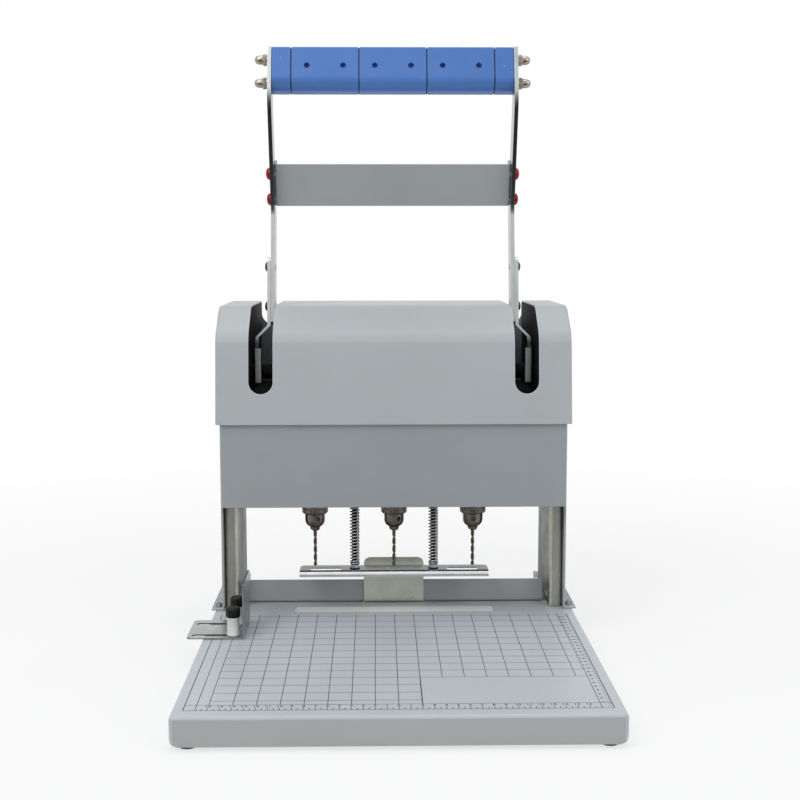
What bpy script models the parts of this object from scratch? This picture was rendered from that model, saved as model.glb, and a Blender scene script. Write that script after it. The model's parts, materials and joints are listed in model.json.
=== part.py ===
"""Desktop three-hole paper drill: base, tower, lever, drill carriage, press bar and paper guides."""

import math

import bmesh
import bpy
from mathutils import Matrix, Vector

# All sizes are in metres. x runs to the right, y from the front edge of the base to the rear, z up.
SEAT_GAP = 0.0003          # gap left between pieces that touch
MERGE_DISTANCE = 0.00003   # points closer than this are one point
CUT_OVERRUN = 0.004        # how far a cutter runs past the piece it cuts

# Base
BASE_WIDTH = 0.380
BASE_DEPTH = 0.490
BASE_SHEET = 0.002
BASE_BEND = 0.003
SKIRT_HEIGHT = 0.026
SKIRT_CORNER = 0.007
FOOT_GAP = 0.004
FOOT_RADIUS = 0.008
FOOT_TOP_RADIUS = 0.007
FOOT_INSET = 0.014
FOOT_BORE_RADIUS = 0.0024
FOOT_RECESS_RADIUS = 0.0045
FOOT_RECESS_DEPTH = 0.006

# Cutting pad let into the base under the drills
PAD_LENGTH = 0.210
PAD_WIDTH = 0.020
PAD_FLANGE = 0.006
PAD_FLANGE_THICKNESS = 0.004
PAD_CORNER = 0.004

# Rear fence
FENCE_SIDE_GAP = 0.0044    # left between each end of the fence and the column
FENCE_HEIGHT = 0.025
FENCE_FOOT = 0.030
FENCE_SHEET = 0.002
FENCE_BEND = 0.003
FENCE_FACE_Y = 0.353
FENCE_SCREW_X = 0.065
FENCE_SCREW_OUTER_X = 0.130

# Tower: side plates, columns, covers
TOWER_FRONT_Y = 0.303
TOWER_BACK_Y = 0.484
SIDE_PLATE_SHEET = 0.002
SIDE_PLATE_INNER_X = 0.1795
SIDE_PLATE_FRONT_Y = 0.321
SIDE_PLATE_TOP_Z = 0.313
SIDE_PLATE_BEND = 0.0025
SIDE_FLANGE_WIDTH = 0.0115
FLANGE_SCREW_INSET = 0.0042
COLUMN_SHEET = 0.002
COLUMN_WEB_X = 0.1654
COLUMN_WIDTH = 0.0133
COLUMN_FRONT_Y = 0.331
COLUMN_DEPTH = 0.100
COLUMN_LIP = 0.012
COLUMN_BEND = 0.003
COLUMN_TOP_Z = 0.312
PANEL_SHEET = 0.0015
PANEL_BEND = 0.003
PANEL_RETURN = 0.024
PANEL_BOTTOM_Z = 0.144
PANEL_TOP_Z = 0.246
PANEL_SIDE_GAP = 0.0005
COVER_SHEET = 0.0015
COVER_SIDE_GAP = 0.0005
COVER_BOTTOM_Z = 0.231
COVER_TOP_Z = 0.3507
COVER_FRONT_LEAN = 0.012
COVER_FRONT_STEP = 0.004
COVER_BEND_Z = 0.322
COVER_TOP_FRONT_Y = 0.349
COVER_FRONT_RADIUS = 0.012
COVER_TOP_RADIUS = 0.014
COVER_BACK_RADIUS = 0.008
COVER_SIDE_RADIUS = 0.002
COVER_BACK_STEP = 0.0025

# Lever slots in the cover and their liners
SLOT_WIDTH = 0.025
SLOT_CENTRE_X = 0.137
SLOT_FRONT_END_Z = 0.262
SLOT_REAR_END_Z = 0.324
LINER_SHEET = 0.0012
LINER_SIDE_GAP = 0.0006
LINER_FLOOR_Z = 0.257
LINER_TOP_GAP = 0.0006

# Lever
PIVOT_Y = 0.366
PIVOT_Z = 0.280
LEVER_RANGE_DEG = 80.0
ARM_THICKNESS = 0.0042
ARM_OUTER_X = 0.1300
ARM_WIDTH = 0.026
ARM_LOWER_Z = 0.331
ARM_BEND_Y = 0.394
ARM_BEND_Z = 0.451
ARM_NECK_Y = 0.357
ARM_NECK_Z = 0.566
ARM_TOP_Y = 0.371
ARM_TOP_Z = 0.6155
ARM_BEND_RADIUS = 0.030
STRAP_THICKNESS = 0.0036
STRAP_WIDTH = 0.024
STRAP_JOG = 0.0125
STRAP_JOG_LOW_Z = 0.317
STRAP_JOG_HIGH_Z = 0.3295
STRAP_TOP_Z = 0.400
STRAP_CORNER = 0.005
STRAP_BOLT_LOW_Z = 0.349
STRAP_BOLT_HIGH_Z = 0.391
STRAP_BOLT_RADIUS = 0.003
STRAP_BOLT_HEAD_RADIUS = 0.0055
STRAP_BOLT_HEAD = 0.0035
STRAP_BOLT_TIP = 0.0006
CROSS_PLATE_LOW_Z = 0.457
CROSS_PLATE_HIGH_Z = 0.500
CROSS_PLATE_SHEET = 0.0020
CROSS_PLATE_FLANGE = 0.018
CROSS_PLATE_BEND = 0.003
CROSS_PLATE_SETBACK = 0.009
CROSS_BOLT_LOW_Z = 0.463
CROSS_BOLT_HIGH_Z = 0.4895
CROSS_BOLT_RADIUS = 0.003
CROSS_BOLT_HEAD_RADIUS = 0.0068
CROSS_BOLT_HEAD = 0.0045

# Grip
GRIP_HEIGHT = 0.0445
GRIP_DEPTH = 0.024
GRIP_CHAMFER = 0.008
GRIP_CHAMFER_DEPTH = 0.006
GRIP_CORNER = 0.005
GRIP_BLOCK_LENGTH = 0.0692
GRIP_GROOVE = 0.0012
GRIP_HOLE_RADIUS = 0.0030
GRIP_HOLE_DEPTH = 0.012
GRIP_HOLE_SPACING = 0.0375
GRIP_HOLE_DROP = 0.0205
TIE_ROD_RADIUS = 0.003
TIE_ROD_CLEARANCE = 0.0003
TIE_ROD_DROP = 0.0100
TIE_ROD_SPACING = 0.0255
ACORN_ACROSS = 0.0105
ACORN_HEX_HEIGHT = 0.006
ACORN_DOME_HEIGHT = 0.0065
ACORN_WASHER_RADIUS = 0.0065
ACORN_WASHER = 0.0010

# Lever shaft, cranks and bearings
SHAFT_RADIUS = 0.008
SHAFT_BORE_CLEARANCE = 0.0004
BEARING_LENGTH = 0.0125
BEARING_RADIUS = 0.014
BEARING_FLANGE = 0.004
BEARING_FLANGE_RADIUS = 0.019
CRANK_RADIUS = 0.0366
CRANK_X = 0.1030
CRANK_THICKNESS = 0.005
CRANK_EYE_RADIUS = 0.009
CRANK_HUB_RADIUS = 0.0145
CRANK_PIN_RADIUS = 0.004
CRANK_PIN_LENGTH = 0.010
ROLLER_RADIUS = 0.008
ROLLER_WIDTH = 0.005
ROLLER_PLAY = 0.0012

# Drill carriage
DRILL_PITCH = 0.083
DRILL_Y = 0.325
CARRIAGE_FRONT_Y = 0.307
CARRIAGE_REAR_Y = 0.371
CARRIAGE_WIDTH = 0.290
CARRIAGE_PLATE = 0.006
CARRIAGE_Z = 0.168
CARRIAGE_BACK_TOP_Z = 0.243
CARRIAGE_BEND = 0.007
GUIDE_ROD_X = 0.095
GUIDE_ROD_Y = 0.400
GUIDE_ROD_RADIUS = 0.006
GUIDE_BORE_CLEARANCE = 0.0004
GUIDE_BLOCK_WIDTH = 0.030
GUIDE_BLOCK_LOW_Z = 0.203
GUIDE_BLOCK_EDGE = 0.002
CROSS_BAR_DEPTH = 0.024
CROSS_BAR_HEIGHT = 0.010
CROSS_BAR_LOW_Z = 0.128
CROSS_BAR_TOP_Z = 0.2555
CROSS_BAR_EDGE = 0.001
YOKE_THICKNESS = 0.004
YOKE_FRONT_Y = 0.3155
YOKE_REAR_Y = 0.3535
YOKE_RIM = 0.005
YOKE_CORNER = 0.004
MOTOR_RADIUS = 0.018
MOTOR_LENGTH = 0.057
MOTOR_EDGE = 0.0015
MOTOR_BOSS_RADIUS = 0.006
MOTOR_BOSS = 0.004
MOTOR_CAP_RADIUS = 0.0075
MOTOR_CAP = 0.003
MOTOR_SIDES = 12

# Spindles, chucks and drills
CHUCK_TOP_Z = 0.162
CHUCK_RING_TOP_Z = 0.150
CHUCK_RING_Z = 0.134
CHUCK_NOSE_Z = 0.115
CHUCK_RING_RADIUS = 0.0138
CHUCK_TOOTH = 0.0012
CHUCK_TOOTH_SETBACK = 0.0004
CHUCK_TOOTH_COUNT = 11
CHUCK_TOOTH_LENGTH = 0.005
CHUCK_BODY_RADIUS = 0.0102
CHUCK_NOSE_RADIUS = 0.0046
CHUCK_SHOULDER = 0.0105
CHUCK_BORE_RADIUS = 0.0040
CHUCK_KEY_RADIUS = 0.0024
CHUCK_KEY_DEPTH = 0.0045
CHUCK_KEY_DROP = 0.0055
CHUCK_KEY_TURN = 0.25
CHUCK_SIDES = 14
JAW_WIDTH = 0.0022
JAW_LENGTH = 0.012
JAW_OUT = 0.0016
SPINDLE_RADIUS = 0.0028
DRILL_RADIUS = 0.0016
DRILL_TIP_Z = 0.0773
DRILL_WEB_SHARE = 0.34
DRILL_FLUTE_SHARE = 0.7    # power that widens the lands between the flutes
DRILL_LEAD = 0.019
DRILL_STEP = 0.0036
DRILL_SIDES = 8

# Press bar and its rods and springs
PRESS_LENGTH = 0.199
PRESS_DEPTH = 0.027
PRESS_SHEET = 0.0018
PRESS_LIP = 0.0062
PRESS_TOP_Z = 0.074
PRESS_FRONT_Y = 0.3135
PRESS_BEND = 0.0022
PRESS_CORNER = 0.006
PRESS_SLOT_LENGTH = 0.033
PRESS_SLOT_WIDTH = 0.012
PRESS_SLOT_OUT = 0.0055
PRESS_CUT_OVERRUN = 0.001
PRESS_CENTRE_SLOT = 0.015
PRESS_SLOT_CORNER = 0.003
PRESS_ROD_X = 0.0415
PRESS_ROD_RADIUS = 0.003
PRESS_ROD_CLEARANCE = 0.0005
PRESS_NUT_ACROSS = 0.0085
PRESS_NUT = 0.004
PRESS_SPRING_RADIUS = 0.0050
PRESS_SPRING_WIRE = 0.0012
PRESS_SPRING_PITCH = 0.0052
RETURN_SPRING_RADIUS = 0.0100
RETURN_SPRING_WIRE = 0.0018
RETURN_SPRING_PITCH = 0.0105
SPRING_POINTS_PER_CURL = 8

# Side guide
GUIDE_WALL_X = 0.1485
GUIDE_PLATE_WIDTH = 0.0567
GUIDE_FRONT_Y = 0.217
GUIDE_DEPTH = 0.063
GUIDE_SHEET = 0.0015
GUIDE_BEND = 0.0025
GUIDE_HEIGHT = 0.055
GUIDE_CORNER = 0.004
GUIDE_SLOT_START = 0.0035
GUIDE_SLOT_LENGTH = 0.046
GUIDE_SLOT_WIDTH = 0.0062
GUIDE_SLOT_FRONT_Y = 0.226
GUIDE_SLOT_REAR_Y = 0.266
STUD_X = 0.160
STUD_RADIUS = 0.0025
STUD_CLEARANCE = 0.0003
SLEEVE_RADIUS = 0.0060
SLEEVE_HEIGHT = 0.018
KNOB_RADIUS = 0.0064
KNOB_HEIGHT = 0.010
KNOB_RIB_COUNT = 12
KNOB_RIB = 0.0005
KNOB_BORE_DEPTH = 0.007

# Depth stop tab
STOP_WIDTH = 0.0645
STOP_TOP_Z = 0.080
STOP_SHEET = 0.0015
STOP_FACE_GAP = 0.0005
STOP_BEND = 0.0025
STOP_CORNER = 0.006
STOP_FOOT = 0.046
STOP_SCREW_SETBACK = 0.026
STOP_SLOT_WIDTH = 0.0052
STOP_TRAVEL = 0.008
STOP_SCREW_SPACING = 0.036
STOP_NOTCH_GAP = 0.0008

# Screw holes
SCREW_RADIUS = 0.00175
SCREW_HOLE_CLEARANCE = 0.0003

# Back of the tower: switch and cable gland
SWITCH_X = 0.110
SWITCH_Z = 0.188
SWITCH_WIDTH = 0.030
SWITCH_HEIGHT = 0.022
SWITCH_BEZEL = 0.0020
SWITCH_RIM = 0.0022
SWITCH_DEPTH = 0.016
SWITCH_WALL = 0.0015
ROCKER_GAP = 0.0006
ROCKER_TILT_DEG = 9.0
ROCKER_PROUD = 0.0016
ROCKER_DEPTH = 0.0075
GLAND_X = -0.110
GLAND_Z = 0.188
GLAND_RADIUS = 0.0080
GLAND_BORE_RADIUS = 0.0040
GLAND_NUT = 0.0040
GLAND_CAP = 0.0050
GLAND_TAIL = 0.0080

ARC_STEPS = 2              # straight pieces in a bend or a rounded corner
COVER_ARC_STEPS = 4
LEVEL_SHARE = 0.99         # a face whose normal has this much of one axis lies across it
SIDE_FACE_SHARE = 0.5
SMOOTH_ANGLE_DEG = 30.0
HOLE_SIDES = 8
BOLT_SIDES = 8
ROD_SIDES = 8
POST_SIDES = 12
FOOT_SIDES = 12
SHAFT_SIDES = 12
ROUND_SIDES = 12
HEX_SIDES = 6
CAPSULE_STEPS = 6
LINK_STEPS = 8
GRIP_ARC_STEPS = 3
SIDE_SCREW_COUNT = 3
GRIP_BLOCK_COUNT = 3
JAW_COUNT = 3
TOOTH_POINTS = 4           # two on a tooth's crest and two at its root
AXIS_MARK_SIZE = 0.012
SIDES = (("left", -1.0), ("right", 1.0))
SPINDLES = (("left", -1.0), ("centre", 0.0), ("right", 1.0))

# Sizes worked out from the ones above
base_top = FOOT_GAP + SKIRT_HEIGHT
side_plate_outer_x = SIDE_PLATE_INNER_X + SIDE_PLATE_SHEET
flange_outer_x = side_plate_outer_x + SIDE_FLANGE_WIDTH
side_plate_back_y = TOWER_BACK_Y - COVER_BACK_STEP - PANEL_SHEET - COVER_SHEET
cover_half_width = side_plate_outer_x + COVER_SIDE_GAP + COVER_SHEET
cover_front_y = TOWER_FRONT_Y - COVER_FRONT_STEP
fence_half_length = COLUMN_WEB_X - FENCE_SIDE_GAP
lever_range = math.radians(LEVER_RANGE_DEG)
crank_rest_angle = lever_range / 2
strap_slope = (ARM_BEND_Y - PIVOT_Y) / (ARM_BEND_Z - PIVOT_Z)
guide_reach_x = GUIDE_WALL_X + GUIDE_PLATE_WIDTH
machine_centre_x = (flange_outer_x - guide_reach_x) / 2
machine_centre_y = BASE_DEPTH / 2
carriage_top = CARRIAGE_Z + CARRIAGE_PLATE
guide_plate_top = base_top + SEAT_GAP + GUIDE_SHEET
motor_seat = carriage_top + SEAT_GAP

PAINT = ("machine_paint", (0.48, 0.53, 0.55), 0.0, 0.45)
ZINC = ("zinc_plated_steel", (0.62, 0.66, 0.66), 0.9, 0.35)
POLISHED = ("polished_steel", (0.75, 0.74, 0.72), 1.0, 0.12)
STEEL = ("bright_steel", (0.66, 0.67, 0.68), 1.0, 0.28)
CHUCK_STEEL = ("chuck_steel", (0.30, 0.28, 0.26), 1.0, 0.35)
BLUE_GRIP = ("blue_grip_plastic", (0.10, 0.21, 0.56), 0.0, 0.42)
BLACK_PLASTIC = ("black_plastic", (0.025, 0.025, 0.03), 0.0, 0.5)
BLACK_LINER = ("black_liner", (0.03, 0.032, 0.035), 0.0, 0.6)
NYLON = ("white_nylon", (0.80, 0.79, 0.72), 0.0, 0.45)
RUBBER = ("black_rubber", (0.02, 0.02, 0.02), 0.0, 0.85)
ALUMINIUM = ("machined_aluminium", (0.70, 0.71, 0.72), 1.0, 0.4)
BRONZE = ("bearing_bronze", (0.55, 0.38, 0.18), 1.0, 0.35)

parts = None
cutters = None


def clear_scene():
    for thing in list(bpy.data.objects):
        bpy.data.objects.remove(thing, do_unlink=True)


def make_collections():
    global parts, cutters
    parts = bpy.data.collections.new("paper_drill")
    cutters = bpy.data.collections.new("cutters")
    for group in (parts, cutters):
        bpy.context.scene.collection.children.link(group)


def finish_of(look):
    name, colour, metallic, roughness = look
    found = bpy.data.materials.get(name)
    if found:
        return found
    made = bpy.data.materials.new(name)
    made.use_nodes = True
    shader = made.node_tree.nodes["Principled BSDF"]
    shader.inputs["Base Color"].default_value = (*colour, 1.0)
    shader.inputs["Metallic"].default_value = metallic
    shader.inputs["Roughness"].default_value = roughness
    made.diffuse_color = (*colour, 1.0)
    return made


def add_object(name, mesh, look=None, place=None):
    """Links a mesh as a part, or as a hidden cutter where it has no finish."""
    made = bpy.data.objects.new(name, mesh)
    if look:
        parts.objects.link(made)
        mesh.materials.clear()
        mesh.materials.append(finish_of(look))
    else:
        cutters.objects.link(made)
        made.hide_render = True
        made.display_type = "WIRE"
    if place is not None:
        made.matrix_world = place
    return made


def mesh_from(bm, name):
    """A mesh of one closed solid, with its faces pointing out."""
    bmesh.ops.recalc_face_normals(bm, faces=bm.faces)
    if bm.calc_volume(signed=True) < 0:
        bmesh.ops.reverse_faces(bm, faces=bm.faces)
    mesh = bpy.data.meshes.new(name)
    bm.to_mesh(mesh)
    bm.free()
    return mesh


def add_box(bm, low, high):
    middle = (Vector(low) + Vector(high)) / 2
    size = Vector(high) - Vector(low)
    place = Matrix.Translation(middle) @ Matrix.Diagonal((*size, 1.0))
    return bmesh.ops.create_cube(bm, size=1.0, matrix=place)["verts"]


def add_cylinder(bm, radius, start, end, sides=ROUND_SIDES, end_radius=None):
    """A cylinder or cone from one point to another."""
    line = Vector(end) - Vector(start)
    turn = line.to_track_quat("Z", "Y").to_matrix().to_4x4()
    place = Matrix.Translation((Vector(start) + Vector(end)) / 2) @ turn
    far = radius if end_radius is None else end_radius
    return bmesh.ops.create_cone(bm, cap_ends=True, segments=sides, radius1=radius, radius2=far,
                                 depth=line.length, matrix=place)["verts"]


def round_edges(bm, edges, radius, steps=2):
    bmesh.ops.bevel(bm, geom=edges, offset=radius, segments=steps, profile=0.5,
                    affect="EDGES", clamp_overlap=True)


def arc_points(centre, radius, start, end, steps=ARC_STEPS):
    return [(centre[0] + radius * math.cos(start + (end - start) * step / steps),
             centre[1] + radius * math.sin(start + (end - start) * step / steps))
            for step in range(steps + 1)]


def rounded(corners, closed=True, steps=ARC_STEPS):
    """Points of an outline whose corners, given as (x, y, radius), are arcs."""
    points = []
    count = len(corners)
    for index, (x, y, radius) in enumerate(corners):
        end_point = not closed and index in (0, count - 1)
        if radius <= 0 or end_point:
            points.append((x, y))
            continue
        here = Vector((x, y))
        before = (Vector(corners[index - 1][:2]) - here).normalized()
        after = (Vector(corners[(index + 1) % count][:2]) - here).normalized()
        half = before.angle(after) / 2
        reach = radius / math.tan(half)
        centre = here + (before + after).normalized() * (radius / math.sin(half))
        first = here + before * reach - centre
        last = here + after * reach - centre
        start = math.atan2(first.y, first.x)
        sweep = math.atan2(first.cross(last), first.dot(last))
        points += arc_points(centre, radius, start, start + sweep, steps)
    return points


def rectangle(low, high, radius=0.0):
    return rounded([(low[0], low[1], radius), (high[0], low[1], radius),
                    (high[0], high[1], radius), (low[0], high[1], radius)])


def circle(centre, radius, sides=ROUND_SIDES):
    return arc_points(centre, radius, 0, 2 * math.pi * (sides - 1) / sides, sides - 1)


def capsule(start, end, radius, steps=CAPSULE_STEPS):
    line = Vector(end) - Vector(start)
    lean = math.atan2(line.y, line.x)
    quarter = math.pi / 2
    return (arc_points(start, radius, lean + quarter, lean + 3 * quarter, steps)
            + arc_points(end, radius, lean - quarter, lean + quarter, steps))


def corner_bit(corner, towards, radius):
    """Outline of what a rounded corner leaves off: the material lies towards the given signs."""
    (x, y), (side, up) = corner, towards
    centre = (x + side * radius, y + up * radius)
    start = math.atan2(0.0, -side)
    sweep = side * up * math.pi / 2
    arc = arc_points(centre, radius, start, start + sweep)
    over = CUT_OVERRUN
    return arc + [(centre[0], y - up * over), (x - side * over, y - up * over), (x - side * over, centre[1])]


# Outlines are drawn in a plane and given thickness along its normal
ALONG_X = Matrix(((0, 0, 1, 0), (1, 0, 0, 0), (0, 1, 0, 0), (0, 0, 0, 1)))
ALONG_Y = Matrix(((1, 0, 0, 0), (0, 0, -1, 0), (0, 1, 0, 0), (0, 0, 0, 1)))
ALONG_Z = Matrix.Identity(4)


def plate_mesh(name, outlines, low, high, along):
    """A flat plate from its outer outline and its holes, between two levels along the normal."""
    curve = bpy.data.curves.new(name, "CURVE")
    curve.dimensions = "2D"
    curve.fill_mode = "BOTH"
    curve.extrude = (high - low) / 2
    for outline in outlines:
        spline = curve.splines.new("POLY")
        spline.points.add(len(outline) - 1)
        for point, (x, y) in zip(spline.points, outline):
            point.co = (x, y, 0.0, 1.0)
        spline.use_cyclic_u = True
    drawn = bpy.data.objects.new(name, curve)
    bpy.context.scene.collection.objects.link(drawn)
    bpy.context.view_layer.update()
    flat = bpy.data.meshes.new_from_object(drawn.evaluated_get(bpy.context.evaluated_depsgraph_get()))
    bpy.data.objects.remove(drawn, do_unlink=True)
    bm = bmesh.new()
    bm.from_mesh(flat)
    bpy.data.meshes.remove(flat)
    bmesh.ops.remove_doubles(bm, verts=bm.verts, dist=MERGE_DISTANCE)
    offset = (low + high) / 2
    sign = -1.0 if along is ALONG_Y else 1.0
    bm.transform(along @ Matrix.Translation((0, 0, sign * offset)))
    return mesh_from(bm, name)


def plate(name, outlines, low, high, along, look=None):
    return add_object(name, plate_mesh(name, outlines, low, high, along), look)


def join_meshes(name, meshes):
    """Several closed solids in one cutter, or one group of solids to be fused to a part."""
    bm = bmesh.new()
    for mesh in meshes:
        bm.from_mesh(mesh)
        bpy.data.meshes.remove(mesh)
    joined = bpy.data.meshes.new(name)
    bm.to_mesh(joined)
    bm.free()
    return add_object(name, joined)


def bent_sheet(name, path, low, high, along, sheet, look, inward=-1.0):
    """Sheet metal folded along a path and run between two levels, thickened by Solidify."""
    bm = bmesh.new()
    sign = -1.0 if along is ALONG_Y else 1.0
    verts = [bm.verts.new((x, y, sign * low)) for x, y in path]
    edges = [bm.edges.new(pair) for pair in zip(verts, verts[1:])]
    run = bmesh.ops.extrude_edge_only(bm, edges=edges)
    moved = [item for item in run["geom"] if isinstance(item, bmesh.types.BMVert)]
    bmesh.ops.translate(bm, verts=moved, vec=(0, 0, sign * (high - low)))
    bm.transform(along)
    mesh = bpy.data.meshes.new(name)
    bm.to_mesh(mesh)
    bm.free()
    made = add_object(name, mesh, look)
    wall = made.modifiers.new("sheet", "SOLIDIFY")
    wall.thickness = sheet
    wall.offset = inward
    wall.use_even_offset = True
    return made


def turned_mesh(name, profile, sides, start, end):
    """A solid of revolution: a profile of (radius, distance) spun about a line."""
    bm = bmesh.new()
    verts = [bm.verts.new((radius, 0.0, height)) for radius, height in profile]
    edges = [bm.edges.new((verts[index], verts[(index + 1) % len(verts)]))
             for index in range(len(verts) - (1 if profile[0][0] == 0 == profile[-1][0] else 0))]
    bmesh.ops.spin(bm, geom=verts + edges, cent=(0, 0, 0), axis=(0, 0, 1), dvec=(0, 0, 0),
                   angle=2 * math.pi, steps=sides, use_merge=True)
    bmesh.ops.remove_doubles(bm, verts=bm.verts, dist=MERGE_DISTANCE)
    line = Vector(end) - Vector(start)
    turn = line.to_track_quat("Z", "Y").to_matrix().to_4x4()
    bm.transform(Matrix.Translation(start) @ turn)
    return mesh_from(bm, name)


def combine(target, other, operation):
    step = target.modifiers.new(other.name, "BOOLEAN")
    step.operation = operation
    step.solver = "EXACT"
    step.object = other


def cut(target, cutter):
    combine(target, cutter, "DIFFERENCE")


def fuse(target, solids):
    combine(target, solids, "UNION")


def helix_tube(name, centre, radius, wire, pitch, low, high):
    """A compression spring as one unbroken tube; prints its least gap to itself."""
    turns = (high - low - wire) / pitch
    count = round(turns * SPRING_POINTS_PER_CURL)
    curve = bpy.data.curves.new(name, "CURVE")
    curve.dimensions = "3D"
    curve.bevel_depth = wire / 2
    curve.bevel_resolution = 1
    curve.use_fill_caps = True
    spline = curve.splines.new("POLY")
    spline.points.add(count)
    mean = radius - wire / 2
    points = []
    for index, point in enumerate(spline.points):
        share = index / count
        angle = 2 * math.pi * turns * share
        place = Vector((centre[0] + mean * math.cos(angle), centre[1] + mean * math.sin(angle),
                        low + wire / 2 + (high - low - wire) * share))
        points.append(place)
        point.co = (*place, 1.0)
    least = min((points[index] - points[other]).length - wire
                for index in range(len(points))
                for other in range(index + SPRING_POINTS_PER_CURL // 2, len(points)))
    print(f"{name}: {turns:.1f} curls, least gap to itself {least * 1000:.2f} mm")
    drawn = bpy.data.objects.new(name, curve)
    bpy.context.scene.collection.objects.link(drawn)
    bpy.context.view_layer.update()
    tube = bpy.data.meshes.new_from_object(drawn.evaluated_get(bpy.context.evaluated_depsgraph_get()))
    bpy.data.objects.remove(drawn, do_unlink=True)
    bm = bmesh.new()
    bm.from_mesh(tube)
    bpy.data.meshes.remove(tube)
    bmesh.ops.remove_doubles(bm, verts=bm.verts, dist=MERGE_DISTANCE)
    return mesh_from(bm, name)


def screw_hole(bm, head_at, direction, depth):
    line = Vector(direction).normalized()
    start = Vector(head_at) - line * CUT_OVERRUN / 2
    add_cylinder(bm, SCREW_RADIUS + SCREW_HOLE_CLEARANCE, start, start + line * (depth + CUT_OVERRUN / 2),
                 HOLE_SIDES)


def cutter_from(name, bm):
    return add_object(name, mesh_from(bm, name))


# Base
def foot_places():
    side = BASE_WIDTH / 2 - FOOT_INSET
    return [(sign * side, y) for sign in (-1, 1) for y in (FOOT_INSET, BASE_DEPTH - FOOT_INSET)]


def stud_places():
    return [(-STUD_X, GUIDE_SLOT_FRONT_Y), (-STUD_X, GUIDE_SLOT_REAR_Y)]


def base_screw_places():
    """Where pan-head screws enter the base from above: side-plate flanges and the fence foot."""
    flange_x = side_plate_outer_x + FLANGE_SCREW_INSET
    along_flange = (side_plate_back_y - SIDE_PLATE_FRONT_Y) / 2
    first = SIDE_PLATE_FRONT_Y + SIDE_FLANGE_WIDTH
    places = [(sign * flange_x, first + step * (along_flange - SIDE_FLANGE_WIDTH))
              for sign in (-1, 1) for step in range(SIDE_SCREW_COUNT)]
    fence_y = FENCE_FACE_Y + FENCE_FOOT - SIDE_FLANGE_WIDTH
    places += [(sign * x, fence_y) for sign in (-1, 1) for x in (FENCE_SCREW_X, FENCE_SCREW_OUTER_X)]
    return places


def stop_screw_places():
    return [(sign * STOP_SCREW_SPACING / 2, FENCE_FACE_Y + STOP_SCREW_SETBACK) for sign in (-1, 1)]


def make_base():
    bm = bmesh.new()
    add_box(bm, (-BASE_WIDTH / 2, 0, FOOT_GAP), (BASE_WIDTH / 2, BASE_DEPTH, base_top))
    floor = [face for face in bm.faces if face.normal.z < 0]
    bmesh.ops.delete(bm, geom=floor, context="FACES_ONLY")
    bends = [edge for edge in bm.edges if not edge.is_boundary]
    round_edges(bm, bends, BASE_BEND)
    mesh = bpy.data.meshes.new("base_plate")
    bm.to_mesh(mesh)
    bm.free()
    base = add_object("base_plate", mesh, PAINT)
    wall = base.modifiers.new("sheet", "SOLIDIFY")
    wall.thickness = BASE_SHEET
    wall.offset = -1.0
    wall.use_even_offset = True

    deep = BASE_SHEET + BASE_BEND * 2
    half = BASE_WIDTH / 2
    notches = []
    for side, sign in SIDES:
        outline = corner_bit((sign * half, FOOT_GAP), (-sign, 1), SKIRT_CORNER)
        for low, high in ((-CUT_OVERRUN, deep), (BASE_DEPTH - deep, BASE_DEPTH + CUT_OVERRUN)):
            notches.append(plate_mesh("notch", [outline], low, high, ALONG_Y))
    cut(base, join_meshes("skirt_notches", notches))

    gap = SEAT_GAP
    window = rectangle((-PAD_LENGTH / 2 - gap, DRILL_Y - PAD_WIDTH / 2 - gap),
                       (PAD_LENGTH / 2 + gap, DRILL_Y + PAD_WIDTH / 2 + gap), PAD_CORNER + gap)
    under = base_top - BASE_SHEET - CUT_OVERRUN
    cut(base, plate("pad_window", [window], under, base_top + CUT_OVERRUN, ALONG_Z))
    bm = bmesh.new()
    for x, y in base_screw_places() + stop_screw_places():
        screw_hole(bm, (x, y, base_top + CUT_OVERRUN / 2), (0, 0, -1), CUT_OVERRUN + BASE_SHEET)
    for x, y in stud_places():
        add_cylinder(bm, STUD_RADIUS + STUD_CLEARANCE, (x, y, under), (x, y, base_top + CUT_OVERRUN),
                     HOLE_SIDES)
    cut(base, cutter_from("base_holes", bm))
    return [base]


def make_feet():
    """Rubber feet, each with a recess and a bore for its screw."""
    top = base_top - BASE_SHEET - SEAT_GAP
    profile = [(FOOT_RECESS_RADIUS, 0.0), (FOOT_RADIUS, 0.0), (FOOT_RADIUS, FOOT_GAP), (FOOT_TOP_RADIUS, top),
               (FOOT_BORE_RADIUS, top), (FOOT_BORE_RADIUS, FOOT_RECESS_DEPTH),
               (FOOT_RECESS_RADIUS, FOOT_RECESS_DEPTH)]
    feet = []
    for name, (x, y) in zip(("front_left", "rear_left", "front_right", "rear_right"), foot_places()):
        mesh = turned_mesh(name, profile, FOOT_SIDES, (x, y, 0.0), (x, y, top))
        feet.append(add_object(f"foot_{name}", mesh, RUBBER))
    return feet


def make_pad():
    """A stepped nylon strip: its face is flush with the base, its flange lies under the sheet."""
    flange_top = base_top - BASE_SHEET - SEAT_GAP
    face = rectangle((-PAD_LENGTH / 2, DRILL_Y - PAD_WIDTH / 2), (PAD_LENGTH / 2, DRILL_Y + PAD_WIDTH / 2),
                     PAD_CORNER)
    wide = rectangle((-PAD_LENGTH / 2 - PAD_FLANGE, DRILL_Y - PAD_WIDTH / 2 - PAD_FLANGE),
                     (PAD_LENGTH / 2 + PAD_FLANGE, DRILL_Y + PAD_WIDTH / 2 + PAD_FLANGE), PAD_CORNER)
    pad = plate("drill_pad", [wide], flange_top - PAD_FLANGE_THICKNESS, flange_top, ALONG_Z, NYLON)
    fuse(pad, plate("pad_face", [face], flange_top - PAD_FLANGE_THICKNESS / 2, base_top, ALONG_Z))
    return [pad]


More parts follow.
